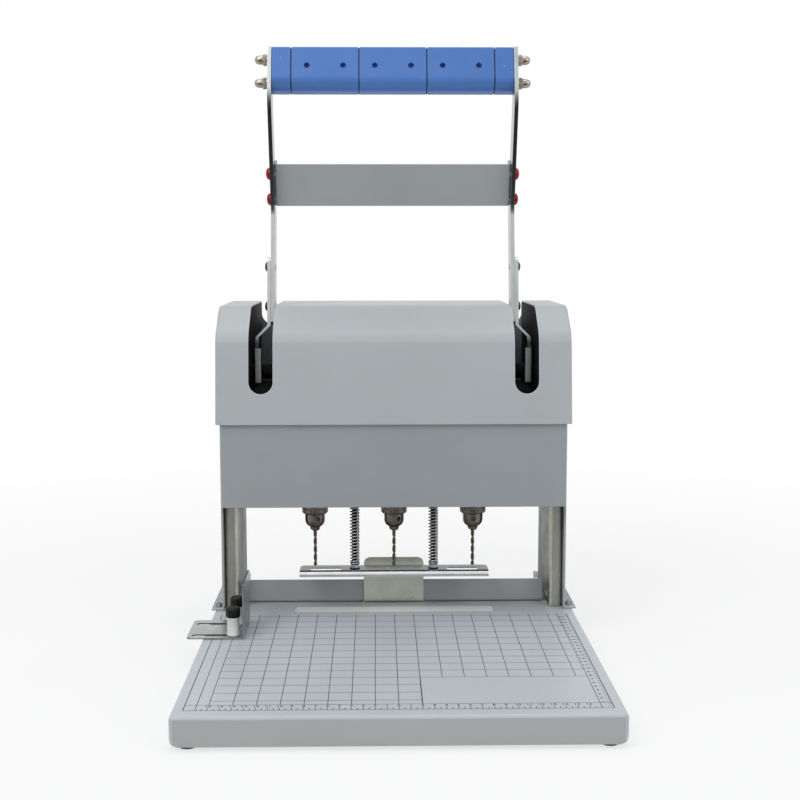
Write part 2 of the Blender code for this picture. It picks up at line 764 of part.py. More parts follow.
def make_fence():
    foot_z = base_top + SEAT_GAP
    path = rounded([(FENCE_FACE_Y, foot_z + FENCE_HEIGHT, 0.0), (FENCE_FACE_Y, foot_z, FENCE_BEND),
                    (FENCE_FACE_Y + FENCE_FOOT, foot_z, 0.0)], closed=False)
    fence = bent_sheet("rear_fence", path, -fence_half_length, fence_half_length, ALONG_X, FENCE_SHEET, PAINT,
                       inward=1.0)
    bm = bmesh.new()
    for x, y in base_screw_places():
        if abs(x) < fence_half_length:
            screw_hole(bm, (x, y, foot_z + FENCE_SHEET), (0, 0, -1), FENCE_SHEET)
    half = STOP_WIDTH / 2 + STOP_NOTCH_GAP
    add_box(bm, (-half, FENCE_FACE_Y - CUT_OVERRUN, base_top - CUT_OVERRUN),
            (half, FENCE_FACE_Y + FENCE_FOOT + CUT_OVERRUN, foot_z + STOP_SHEET + STOP_BEND))
    cut(fence, cutter_from("fence_holes", bm))
    return [fence]


# Tower
def column_path(sign):
    """Section of a lipped channel, open towards the side plate, as (x, y)."""
    web = sign * COLUMN_WEB_X
    edge = sign * (COLUMN_WEB_X + COLUMN_WIDTH)
    front = COLUMN_FRONT_Y
    back = COLUMN_FRONT_Y + COLUMN_DEPTH
    return rounded([(edge, front + COLUMN_LIP, 0.0), (edge, front, COLUMN_BEND), (web, front, COLUMN_BEND),
                    (web, back, COLUMN_BEND), (edge, back, COLUMN_BEND), (edge, back - COLUMN_LIP, 0.0)],
                   closed=False)


def make_columns():
    return [bent_sheet(f"{side}_column", column_path(sign), base_top + SEAT_GAP, COLUMN_TOP_Z, ALONG_Z,
                       COLUMN_SHEET, ZINC, inward=-sign) for side, sign in SIDES]


def make_side_plates():
    made = []
    for side, sign in SIDES:
        foot_z = base_top + SEAT_GAP
        path = rounded([(sign * side_plate_outer_x, SIDE_PLATE_TOP_Z, 0.0),
                        (sign * side_plate_outer_x, foot_z + SIDE_PLATE_SHEET, SIDE_PLATE_BEND / 2),
                        (sign * flange_outer_x, foot_z + SIDE_PLATE_SHEET, 0.0)], closed=False)
        wall = bent_sheet(f"{side}_side_plate", path, SIDE_PLATE_FRONT_Y, side_plate_back_y, ALONG_Y,
                          SIDE_PLATE_SHEET, PAINT, inward=sign)
        bm = bmesh.new()
        for x, y in base_screw_places():
            if x * sign > side_plate_outer_x:
                screw_hole(bm, (x, y, foot_z + SIDE_PLATE_SHEET), (0, 0, -1), SIDE_PLATE_SHEET)
        cut(wall, cutter_from(f"{side}_flange_holes", bm))
        made.append(wall)
    return made


def make_panels():
    half = SIDE_PLATE_INNER_X - PANEL_SIDE_GAP
    made = []
    for name, face_y, towards in (("front_panel", TOWER_FRONT_Y, 1), ("back_panel", back_panel_y(), -1)):
        path = rounded([(-half, face_y + towards * PANEL_RETURN, 0.0), (-half, face_y, PANEL_BEND),
                        (half, face_y, PANEL_BEND), (half, face_y + towards * PANEL_RETURN, 0.0)],
                       closed=False)
        made.append(bent_sheet(name, path, PANEL_BOTTOM_Z, PANEL_TOP_Z, ALONG_Z, PANEL_SHEET, PAINT,
                               inward=towards))
    bm = bmesh.new()
    gap = SEAT_GAP
    y = back_panel_y()
    add_box(bm, (SWITCH_X - SWITCH_WIDTH / 2 - gap, y - CUT_OVERRUN, SWITCH_Z - SWITCH_HEIGHT / 2 - gap),
            (SWITCH_X + SWITCH_WIDTH / 2 + gap, y + CUT_OVERRUN, SWITCH_Z + SWITCH_HEIGHT / 2 + gap))
    add_cylinder(bm, GLAND_RADIUS + gap, (GLAND_X, y - CUT_OVERRUN, GLAND_Z),
                 (GLAND_X, y + CUT_OVERRUN, GLAND_Z), SHAFT_SIDES)
    cut(made[1], cutter_from("back_panel_holes", bm))
    return made


def back_panel_y():
    return TOWER_BACK_Y - COVER_BACK_STEP


def cover_outline(inset=0.0):
    """Side view of the cover as (y, z), pulled in by a wall or a gap."""
    lean = math.hypot(COVER_FRONT_LEAN, COVER_BEND_Z - COVER_BOTTOM_Z) / (COVER_BEND_Z - COVER_BOTTOM_Z)
    steep = COVER_TOP_Z - COVER_BEND_Z
    shallow = COVER_TOP_FRONT_Y - cover_front_y - COVER_FRONT_LEAN
    slope = math.hypot(steep, shallow)
    front = cover_front_y + inset * lean
    top_front = COVER_TOP_FRONT_Y + inset * (slope - shallow) / steep
    bend_turn = math.atan2(steep, shallow) + math.atan2(COVER_BEND_Z - COVER_BOTTOM_Z, COVER_FRONT_LEAN)
    drop = inset * math.tan((math.pi - bend_turn) / 4) if inset else 0.0
    return [(front, COVER_BOTTOM_Z, 0.0),
            (front + COVER_FRONT_LEAN, COVER_BEND_Z - drop, COVER_FRONT_RADIUS - inset),
            (top_front, COVER_TOP_Z - inset, COVER_TOP_RADIUS - inset),
            (TOWER_BACK_Y - inset, COVER_TOP_Z - inset, COVER_BACK_RADIUS - inset),
            (TOWER_BACK_Y - inset, COVER_BOTTOM_Z, 0.0)]


def make_cover():
    outline = rounded(cover_outline(), steps=COVER_ARC_STEPS)
    shell = plate_mesh("upper_cover", [outline], -cover_half_width, cover_half_width, ALONG_X)
    bm = bmesh.new()
    bm.from_mesh(shell)
    bpy.data.meshes.remove(shell)
    bmesh.ops.dissolve_limit(bm, angle_limit=math.radians(1), verts=bm.verts, edges=bm.edges)
    floor = [face for face in bm.faces if face.normal.z < -LEVEL_SHARE]
    bmesh.ops.delete(bm, geom=floor, context="FACES_ONLY")
    sides = [edge for edge in bm.edges if len(edge.link_faces) == 2
             and abs(edge.link_faces[0].normal.x) + abs(edge.link_faces[1].normal.x) > SIDE_FACE_SHARE
             and edge.link_faces[0].normal.angle(edge.link_faces[1].normal) > 1]
    round_edges(bm, sides, COVER_SIDE_RADIUS)
    mesh = bpy.data.meshes.new("upper_cover")
    bm.to_mesh(mesh)
    bm.free()
    cover = add_object("upper_cover", mesh, PAINT)
    wall = cover.modifiers.new("sheet", "SOLIDIFY")
    wall.thickness = COVER_SHEET
    wall.offset = -1.0
    wall.use_even_offset = True
    middle = PIVOT_Y + STRAP_WIDTH
    radius = SLOT_WIDTH / 2
    over = CUT_OVERRUN
    for name, end_z, low, high in (("front_slots", SLOT_FRONT_END_Z, cover_front_y - over, middle),
                                   ("rear_slots", SLOT_REAR_END_Z, middle - over, TOWER_BACK_Y + over)):
        prisms = []
        for side, sign in SIDES:
            outline = capsule((sign * SLOT_CENTRE_X, COVER_TOP_Z + SLOT_WIDTH),
                              (sign * SLOT_CENTRE_X, end_z + radius), radius)
            prisms.append(plate_mesh("slot", [outline], low, high, ALONG_Y))
        cut(cover, join_meshes(name, prisms))
    return [cover]


def make_liners():
    """Black troughs under the slots, following the inside of the cover, open along the slot."""
    inner = SLOT_WIDTH / 2 + LINER_SIDE_GAP
    outer = inner + LINER_SHEET
    corners = cover_outline(COVER_SHEET + LINER_TOP_GAP)
    lean = COVER_FRONT_LEAN / (COVER_BEND_Z - COVER_BOTTOM_Z)
    front = corners[0][0] + lean * (LINER_FLOOR_Z - COVER_BOTTOM_Z)
    back = corners[-1][0]
    outline = rounded([(front, LINER_FLOOR_Z, 0.0)] + corners[1:-1] + [(back, LINER_FLOOR_Z, 0.0)])
    made = []
    for side, sign in SIDES:
        middle = sign * SLOT_CENTRE_X
        liner = plate(f"{side}_slot_liner", [outline], middle - outer, middle + outer, ALONG_X, BLACK_LINER)
        bm = bmesh.new()
        add_box(bm, (middle - inner, front - CUT_OVERRUN, LINER_FLOOR_Z + LINER_SHEET),
                (middle + inner, back + CUT_OVERRUN, COVER_TOP_Z + CUT_OVERRUN))
        cut(liner, cutter_from(f"{side}_liner_channel", bm))
        bm = bmesh.new()
        add_cylinder(bm, SHAFT_RADIUS + LINER_SHEET, (middle - outer - CUT_OVERRUN, PIVOT_Y, PIVOT_Z),
                     (middle + outer + CUT_OVERRUN, PIVOT_Y, PIVOT_Z))
        cut(liner, cutter_from(f"{side}_liner_shaft_hole", bm))
        made.append(liner)
    return made


# Lever
def strip(path, width):
    """Outline of a flat bar of one width that follows a path."""
    count = len(path)
    left = []
    right = []
    for index, point in enumerate(path):
        before = Vector(path[max(index - 1, 0)])
        after = Vector(path[min(index + 1, count - 1)])
        ahead = (after - before).normalized()
        across = Vector((-ahead.y, ahead.x)) * width / 2
        left.append(tuple(Vector(point) + across))
        right.append(tuple(Vector(point) - across))
    return left + right[::-1]


def arm_line():
    low_y = PIVOT_Y + strap_slope * (ARM_LOWER_Z - PIVOT_Z)
    return rounded([(low_y, ARM_LOWER_Z, 0.0), (ARM_BEND_Y, ARM_BEND_Z, ARM_BEND_RADIUS),
                    (ARM_NECK_Y, ARM_NECK_Z, ARM_BEND_RADIUS), (ARM_TOP_Y, ARM_TOP_Z, 0.0)], closed=False,
                   steps=COVER_ARC_STEPS)


def strap_places():
    return [(PIVOT_Y + strap_slope * (z - PIVOT_Z), z) for z in (STRAP_BOLT_LOW_Z, STRAP_BOLT_HIGH_Z)]


def middle_run():
    """Start and unit direction of the arm between its two bends, in (y, z)."""
    start = Vector((ARM_BEND_Y, ARM_BEND_Z))
    return start, (Vector((ARM_NECK_Y, ARM_NECK_Z)) - start).normalized()


def cross_bolt_places():
    start, ahead = middle_run()
    return [tuple(start + ahead * ((z - ARM_BEND_Z) / ahead.y))
            for z in (CROSS_BOLT_LOW_Z, CROSS_BOLT_HIGH_Z)]


def grip_frame():
    """Top of the arm's centreline and its unit direction, in (y, z)."""
    top = Vector((ARM_TOP_Y, ARM_TOP_Z))
    return top, (top - Vector((ARM_NECK_Y, ARM_NECK_Z))).normalized()


def tie_rod_places():
    top, ahead = grip_frame()
    return [tuple(top - ahead * (TIE_ROD_DROP + step * TIE_ROD_SPACING)) for step in (0, 1)]


def make_arms():
    outline = strip(arm_line(), ARM_WIDTH)
    holes = [circle(place, STRAP_BOLT_RADIUS + SEAT_GAP, HOLE_SIDES) for place in strap_places()]
    holes += [circle(place, CROSS_BOLT_RADIUS + SEAT_GAP, HOLE_SIDES) for place in cross_bolt_places()]
    holes += [circle(place, TIE_ROD_RADIUS + SEAT_GAP, HOLE_SIDES) for place in tie_rod_places()]
    made = []
    for side, sign in SIDES:
        low, high = sorted((sign * (ARM_OUTER_X - ARM_THICKNESS), sign * ARM_OUTER_X))
        made.append(plate(f"{side}_arm", [outline] + holes, low, high, ALONG_X, ZINC))
    return made


def make_straps():
    """Root straps: flat on the arm above, jogged outwards into the slot, round at the shaft."""
    lean = math.atan(strap_slope)
    length = (STRAP_TOP_Z - PIVOT_Z) / math.cos(lean)
    half = STRAP_WIDTH / 2
    flat = arc_points((0.0, 0.0), half, math.pi, 2 * math.pi, LINK_STEPS)
    top = rounded([(half, 0.0, 0.0), (half, length, STRAP_CORNER), (-half, length, STRAP_CORNER),
                   (-half, 0.0, 0.0)], closed=False)
    turn = Matrix.Rotation(-lean, 2)
    outline = [tuple(turn @ Vector(point) + Vector((PIVOT_Y, PIVOT_Z))) for point in flat + top[1:-1]]
    bore = circle((PIVOT_Y, PIVOT_Z), SHAFT_RADIUS + SEAT_GAP)
    made = []
    for side, sign in SIDES:
        face = ARM_OUTER_X + SEAT_GAP
        low, high = sorted((sign * face, sign * (face + STRAP_THICKNESS)))
        mesh = plate_mesh(f"{side}_strap", [outline, bore], low, high, ALONG_X)
        bm = bmesh.new()
        bm.from_mesh(mesh)
        for z in (STRAP_JOG_LOW_Z, STRAP_JOG_HIGH_Z):
            bmesh.ops.bisect_plane(bm, geom=bm.verts[:] + bm.edges[:] + bm.faces[:], dist=MERGE_DISTANCE,
                                   plane_co=(0, 0, z), plane_no=(0, 0, 1))
        for vert in bm.verts:
            share = (STRAP_JOG_HIGH_Z - vert.co.z) / (STRAP_JOG_HIGH_Z - STRAP_JOG_LOW_Z)
            vert.co.x += sign * STRAP_JOG * min(max(share, 0.0), 1.0)
        bm.to_mesh(mesh)
        bm.free()
        strap = add_object(f"{side}_strap", mesh, ZINC)
        fuse(strap, join_meshes(f"{side}_strap_bolts", [dome_bolt(sign, y, z) for y, z in strap_places()]))
        made.append(strap)
    return made


def dome_bolt(sign, y, z):
    """Dome-head bolt held in the strap, its shank through the arm."""
    tip = ARM_THICKNESS + STRAP_THICKNESS + SEAT_GAP + STRAP_BOLT_TIP
    profile = [(0.0, tip), (STRAP_BOLT_RADIUS, tip), (STRAP_BOLT_RADIUS, SEAT_GAP),
               (STRAP_BOLT_HEAD_RADIUS, SEAT_GAP)]
    profile += [(STRAP_BOLT_HEAD_RADIUS * math.cos(angle), -STRAP_BOLT_HEAD * math.sin(angle))
                for angle in (math.pi / 8, math.pi / 4)]
    profile += [(0.0, -STRAP_BOLT_HEAD)]
    outer = sign * (ARM_OUTER_X + SEAT_GAP + STRAP_THICKNESS)
    return turned_mesh("bolt", profile, BOLT_SIDES, (outer, y, z), (outer - sign, y, z))


def pan_bolt(sign, y, z):
    """Pan-head bolt outside the arm, its shank through the arm into the cross plate's flange."""
    tip = ARM_THICKNESS + SEAT_GAP + 2 * CROSS_PLATE_SHEET
    head = CROSS_BOLT_HEAD + SEAT_GAP
    profile = [(0.0, tip), (CROSS_BOLT_RADIUS, tip), (CROSS_BOLT_RADIUS, -SEAT_GAP),
               (CROSS_BOLT_HEAD_RADIUS, -SEAT_GAP), (CROSS_BOLT_HEAD_RADIUS, -head / 3),
               (CROSS_BOLT_HEAD_RADIUS - head / 2, -head), (0.0, -head)]
    outer = sign * ARM_OUTER_X
    return turned_mesh("bolt", profile, BOLT_SIDES, (outer, y, z), (outer - sign, y, z))


def make_cross_plate():
    """Folded plate between the arms, with the four bolts that hold its flanges."""
    start, ahead = middle_run()
    back = Vector((ahead.y, -ahead.x))
    half = ARM_OUTER_X - ARM_THICKNESS - SEAT_GAP
    face = -ARM_WIDTH / 2 + CROSS_PLATE_SETBACK
    path = rounded([(-half, face + CROSS_PLATE_FLANGE, 0.0), (-half, face, CROSS_PLATE_BEND),
                    (half, face, CROSS_PLATE_BEND), (half, face + CROSS_PLATE_FLANGE, 0.0)], closed=False)
    low = (CROSS_PLATE_LOW_Z - ARM_BEND_Z) / ahead.y
    high = (CROSS_PLATE_HIGH_Z - ARM_BEND_Z) / ahead.y
    made = bent_sheet("cross_plate", path, low, high, ALONG_Z, CROSS_PLATE_SHEET, PAINT, inward=1.0)
    made.matrix_world = Matrix(((1, 0, 0, 0), (0, back.x, ahead.x, start.x), (0, back.y, ahead.y, start.y),
                                (0, 0, 0, 1)))
    bolts = [pan_bolt(sign, y, z) for side, sign in SIDES for y, z in cross_bolt_places()]
    fuse(made, join_meshes("cross_plate_bolts", bolts))
    return [made]


def grip_section():
    """Section of the grip in (y, z): flat face, a chamfer under it, rounded back."""
    top, ahead = grip_frame()
    back = Vector((ahead.y, -ahead.x))
    half = GRIP_DEPTH / 2
    flat = rounded([(-half, 0.0, GRIP_CORNER), (-half, GRIP_CHAMFER - GRIP_HEIGHT, GRIP_CORNER),
                    (GRIP_CHAMFER_DEPTH - half, -GRIP_HEIGHT, GRIP_CORNER / 2),
                    (half, -GRIP_HEIGHT, GRIP_CORNER),
                    (half, 0.0, GRIP_CORNER)], steps=GRIP_ARC_STEPS)
    return [tuple(top + back * across + ahead * up) for across, up in flat]


def make_grip():
    """Three grip blocks with finger holes between two end blocks, threaded on the tie rods."""
    top, ahead = grip_frame()
    front = Vector((-ahead.y, ahead.x))
    inner = ARM_OUTER_X - ARM_THICKNESS - SEAT_GAP
    holes = [circle(place, TIE_ROD_RADIUS + TIE_ROD_CLEARANCE, HOLE_SIDES) for place in tie_rod_places()]
    middle_half = GRIP_BLOCK_LENGTH * GRIP_BLOCK_COUNT / 2 + GRIP_GROOVE
    made = []
    for side, sign in SIDES:
        low, high = sorted((sign * (middle_half + GRIP_GROOVE), sign * inner))
        made.append(plate(f"grip_end_{side}", [grip_section()] + holes, low, high, ALONG_X, BLUE_GRIP))
    face = top - ahead * GRIP_HOLE_DROP + front * GRIP_DEPTH / 2
    for side, step in SPINDLES:
        centre = step * (GRIP_BLOCK_LENGTH + GRIP_GROOVE)
        low = centre - GRIP_BLOCK_LENGTH / 2
        block = plate(f"grip_{side}", [grip_section()] + holes, low, low + GRIP_BLOCK_LENGTH, ALONG_X,
                      BLUE_GRIP)
        bm = bmesh.new()
        for sign in (-1, 1):
            x = centre + sign * GRIP_HOLE_SPACING / 2
            outside = face + front * CUT_OVERRUN
            bottom = face - front * GRIP_HOLE_DEPTH / 2
            add_cylinder(bm, GRIP_HOLE_RADIUS, (x, *outside), (x, *bottom), HOLE_SIDES)
        cut(block, cutter_from(f"grip_{side}_holes", bm))
        made.append(block)
    return made


def make_tie_rods():
    """Rods through arms and grip, with a washer and an acorn nut tightened on each end."""
    washer = ARM_OUTER_X + SEAT_GAP
    hexagon = washer + ACORN_WASHER
    dome = hexagon + ACORN_HEX_HEIGHT
    across = ACORN_ACROSS / 2
    half = [(TIE_ROD_RADIUS, washer), (ACORN_WASHER_RADIUS, washer), (ACORN_WASHER_RADIUS, hexagon),
            (across, hexagon)]
    half += [(across * math.cos(angle), dome + ACORN_DOME_HEIGHT * math.sin(angle))
             for angle in (0, math.pi / 6, math.pi / 3)] + [(0.0, dome + ACORN_DOME_HEIGHT)]
    profile = [(radius, -reach) for radius, reach in half[::-1]] + half
    made = []
    for name, (y, z) in zip(("upper", "lower"), tie_rod_places()):
        mesh = turned_mesh(f"{name}_tie_rod", profile, ROD_SIDES, (0, y, z), (1, y, z))
        rod = add_object(f"{name}_tie_rod", mesh, STEEL)
        bm = bmesh.new()
        for side, sign in SIDES:
            add_cylinder(bm, ACORN_ACROSS / math.sqrt(3), (sign * (hexagon - ACORN_WASHER / 2), y, z),
                         (sign * dome, y, z), HEX_SIDES)
        fuse(rod, cutter_from(f"{name}_tie_rod_nuts", bm))
        made.append(rod)
    return made


def crank_pin_place():
    return (PIVOT_Y - CRANK_RADIUS * math.cos(crank_rest_angle),
            PIVOT_Z + CRANK_RADIUS * math.sin(crank_rest_angle))


def link_outline(first, first_radius, last, last_radius, steps=LINK_STEPS):
    """Outline round two eyes joined by tangents."""
    line = Vector(last) - Vector(first)
    lean = math.atan2(line.y, line.x)
    open_angle = math.acos((first_radius - last_radius) / line.length)
    return (arc_points(first, first_radius, lean + open_angle, lean + 2 * math.pi - open_angle, steps)
            + arc_points(last, last_radius, lean - open_angle, lean + open_angle, steps))


def make_crankshaft():
    """Lever shaft with two cranks pressed on; each carries a roller on its pin."""
    bm = bmesh.new()
    reach = COLUMN_WEB_X - SEAT_GAP
    add_cylinder(bm, SHAFT_RADIUS, (-reach, PIVOT_Y, PIVOT_Z), (reach, PIVOT_Y, PIVOT_Z), SHAFT_SIDES)
    shaft = add_object("lever_shaft", mesh_from(bm, "lever_shaft"), STEEL)
    pin = crank_pin_place()
    outline = link_outline((PIVOT_Y, PIVOT_Z), CRANK_HUB_RADIUS, pin, CRANK_EYE_RADIUS)
    roller = yoke_middle_x() - ROLLER_WIDTH / 2
    end = CRANK_X + CRANK_THICKNESS + CRANK_PIN_LENGTH
    profile = [(0.0, CRANK_X + CRANK_THICKNESS / 2), (CRANK_PIN_RADIUS, CRANK_X + CRANK_THICKNESS / 2),
               (CRANK_PIN_RADIUS, roller), (ROLLER_RADIUS, roller), (ROLLER_RADIUS, roller + ROLLER_WIDTH),
               (CRANK_PIN_RADIUS, roller + ROLLER_WIDTH), (CRANK_PIN_RADIUS, end), (0.0, end)]
    arms = []
    pins = []
    for side, sign in SIDES:
        low, high = sorted((sign * CRANK_X, sign * (CRANK_X + CRANK_THICKNESS)))
        arms.append(plate_mesh("crank", [outline], low, high, ALONG_X))
        pins.append(turned_mesh("pin", profile, SHAFT_SIDES, (0, *pin), (sign, *pin)))
    fuse(shaft, join_meshes("shaft_cranks", arms))
    fuse(shaft, join_meshes("shaft_crank_pins", pins))
    return [shaft]


def yoke_middle_x():
    return CRANK_X + CRANK_THICKNESS + CRANK_PIN_LENGTH / 2


def make_bearings():
    bore = SHAFT_RADIUS + SHAFT_BORE_CLEARANCE
    profile = [(bore, 0.0), (BEARING_FLANGE_RADIUS, 0.0), (BEARING_FLANGE_RADIUS, BEARING_FLANGE),
               (BEARING_RADIUS, BEARING_FLANGE), (BEARING_RADIUS, BEARING_LENGTH), (bore, BEARING_LENGTH)]
    made = []
    for side, sign in SIDES:
        start = sign * (COLUMN_WEB_X - SEAT_GAP)
        mesh = turned_mesh(f"{side}_bearing", profile, SHAFT_SIDES, (start, PIVOT_Y, PIVOT_Z),
                           (start - sign, PIVOT_Y, PIVOT_Z))
        made.append(add_object(f"{side}_bearing", mesh, BRONZE))
    return made


# Carriage and its guides
def guide_block_top():
    return CROSS_BAR_TOP_Z - CROSS_BAR_HEIGHT - CUT_OVERRUN / 2


def make_guides():
    """Two cross bars between the columns; the lower one carries the guide rods and their springs."""
    reach = COLUMN_WEB_X - SEAT_GAP
    half = CROSS_BAR_DEPTH / 2
    outline = rectangle((-reach, GUIDE_ROD_Y - half), (reach, GUIDE_ROD_Y + half), CROSS_BAR_EDGE)
    holes = [circle((sign * GUIDE_ROD_X, GUIDE_ROD_Y), GUIDE_ROD_RADIUS + SEAT_GAP) for side, sign in SIDES]
    lower_top = CROSS_BAR_LOW_Z + CROSS_BAR_HEIGHT
    lower = plate("lower_cross_bar", [outline], CROSS_BAR_LOW_Z, lower_top, ALONG_Z, STEEL)
    upper = plate("upper_cross_bar", [outline] + holes, CROSS_BAR_TOP_Z - CROSS_BAR_HEIGHT, CROSS_BAR_TOP_Z,
                  ALONG_Z, STEEL)
    bm = bmesh.new()
    springs = []
    for side, sign in SIDES:
        x = sign * GUIDE_ROD_X
        add_cylinder(bm, GUIDE_ROD_RADIUS, (x, GUIDE_ROD_Y, lower_top - CROSS_BAR_HEIGHT / 2),
                     (x, GUIDE_ROD_Y, CROSS_BAR_TOP_Z))
        name = f"return_spring_{side}"
        mesh = helix_tube(name, (x, GUIDE_ROD_Y), RETURN_SPRING_RADIUS, RETURN_SPRING_WIRE,
                          RETURN_SPRING_PITCH, lower_top + SEAT_GAP, GUIDE_BLOCK_LOW_Z - SEAT_GAP)
        springs.append(add_object(name, mesh, STEEL))
    fuse(lower, cutter_from("guide_rods", bm))
    return [lower, upper] + springs


def press_rod_y():
    return PRESS_FRONT_Y + PRESS_DEPTH / 2


def make_carriage():
    """Bent plate under the motors, with the guide blocks and the crank yokes welded to it."""
    path = rounded([(CARRIAGE_FRONT_Y, CARRIAGE_Z, 0.0), (CARRIAGE_REAR_Y, CARRIAGE_Z, CARRIAGE_BEND),
                    (CARRIAGE_REAR_Y, CARRIAGE_BACK_TOP_Z, 0.0)], closed=False)
    frame = bent_sheet("carriage_frame", path, -CARRIAGE_WIDTH / 2, CARRIAGE_WIDTH / 2, ALONG_X,
                       CARRIAGE_PLATE, ALUMINIUM, inward=1.0)
    bm = bmesh.new()
    low = CARRIAGE_Z - CUT_OVERRUN
    high = carriage_top + CUT_OVERRUN
    for side, step in SPINDLES:
        x = step * DRILL_PITCH
        add_cylinder(bm, MOTOR_BOSS_RADIUS + SEAT_GAP, (x, DRILL_Y, low), (x, DRILL_Y, high))
    for side, sign in SIDES:
        add_cylinder(bm, PRESS_ROD_RADIUS + PRESS_ROD_CLEARANCE, (sign * PRESS_ROD_X, press_rod_y(), low),
                     (sign * PRESS_ROD_X, press_rod_y(), high), HOLE_SIDES)
    cut(frame, cutter_from("carriage_holes", bm))
    half = GUIDE_BLOCK_WIDTH / 2
    blocks = []
    for side, sign in SIDES:
        outline = rectangle((sign * GUIDE_ROD_X - half, CARRIAGE_REAR_Y - CARRIAGE_PLATE / 2),
                            (sign * GUIDE_ROD_X + half, GUIDE_ROD_Y + half), GUIDE_BLOCK_EDGE)
        bore = circle((sign * GUIDE_ROD_X, GUIDE_ROD_Y), GUIDE_ROD_RADIUS + GUIDE_BORE_CLEARANCE)
        blocks.append(plate_mesh("block", [outline, bore], GUIDE_BLOCK_LOW_Z, guide_block_top(), ALONG_Z))
    fuse(frame, join_meshes("guide_blocks", blocks))
    fuse(frame, join_meshes("crank_yokes", [yoke_mesh(sign) for side, sign in SIDES]))
    return [frame]


def yoke_mesh(sign):
    """Upright with a level closed slot, in which the crank's roller runs."""
    pin_y, pin_z = crank_pin_place()
    radius = ROLLER_RADIUS + ROLLER_PLAY
    top = pin_z + radius + YOKE_RIM
    foot_z = CARRIAGE_Z + CARRIAGE_PLATE / 2
    outline = rounded([(YOKE_FRONT_Y, foot_z, 0.0), (YOKE_REAR_Y, foot_z, 0.0),
                       (YOKE_REAR_Y, top, YOKE_CORNER), (YOKE_FRONT_Y, top, YOKE_CORNER)])
    slot = capsule((PIVOT_Y - CRANK_RADIUS, pin_z), (pin_y, pin_z), radius)
    middle = sign * yoke_middle_x()
    half = YOKE_THICKNESS / 2
    return plate_mesh("yoke", [outline, slot], middle - half, middle + half, ALONG_X)


def make_motors():
    made = []
    for side, step in SPINDLES:
        x = step * DRILL_PITCH
        bore = SPINDLE_RADIUS + SEAT_GAP
        top = MOTOR_LENGTH
        profile = [(0.0, top - MOTOR_CAP), (bore, top - MOTOR_CAP), (bore, -MOTOR_BOSS),
                   (MOTOR_BOSS_RADIUS, -MOTOR_BOSS), (MOTOR_BOSS_RADIUS, 0.0),
                   (MOTOR_RADIUS - MOTOR_EDGE, 0.0), (MOTOR_RADIUS, MOTOR_EDGE),
                   (MOTOR_RADIUS, top - MOTOR_EDGE), (MOTOR_RADIUS - MOTOR_EDGE, top),
                   (MOTOR_CAP_RADIUS, top), (MOTOR_CAP_RADIUS, top + MOTOR_CAP), (0.0, top + MOTOR_CAP)]
        mesh = turned_mesh(f"motor_{side}", profile, MOTOR_SIDES, (x, DRILL_Y, motor_seat),
                           (x, DRILL_Y, motor_seat + 1))
        made.append(add_object(f"motor_{side}", mesh, STEEL))
    return made


# Spindles
def toothed_ring():
    """Outline of the chuck's key ring: each tooth has a flat crest and a flat root."""
    points = []
    crest = CHUCK_RING_RADIUS - CHUCK_TOOTH_SETBACK
    for quarter in range(CHUCK_TOOTH_COUNT * TOOTH_POINTS):
        radius = crest if quarter % TOOTH_POINTS in (1, 2) else crest - CHUCK_TOOTH
        angle = 2 * math.pi * quarter / (CHUCK_TOOTH_COUNT * TOOTH_POINTS)
        points.append((radius * math.cos(angle), radius * math.sin(angle)))
    return points


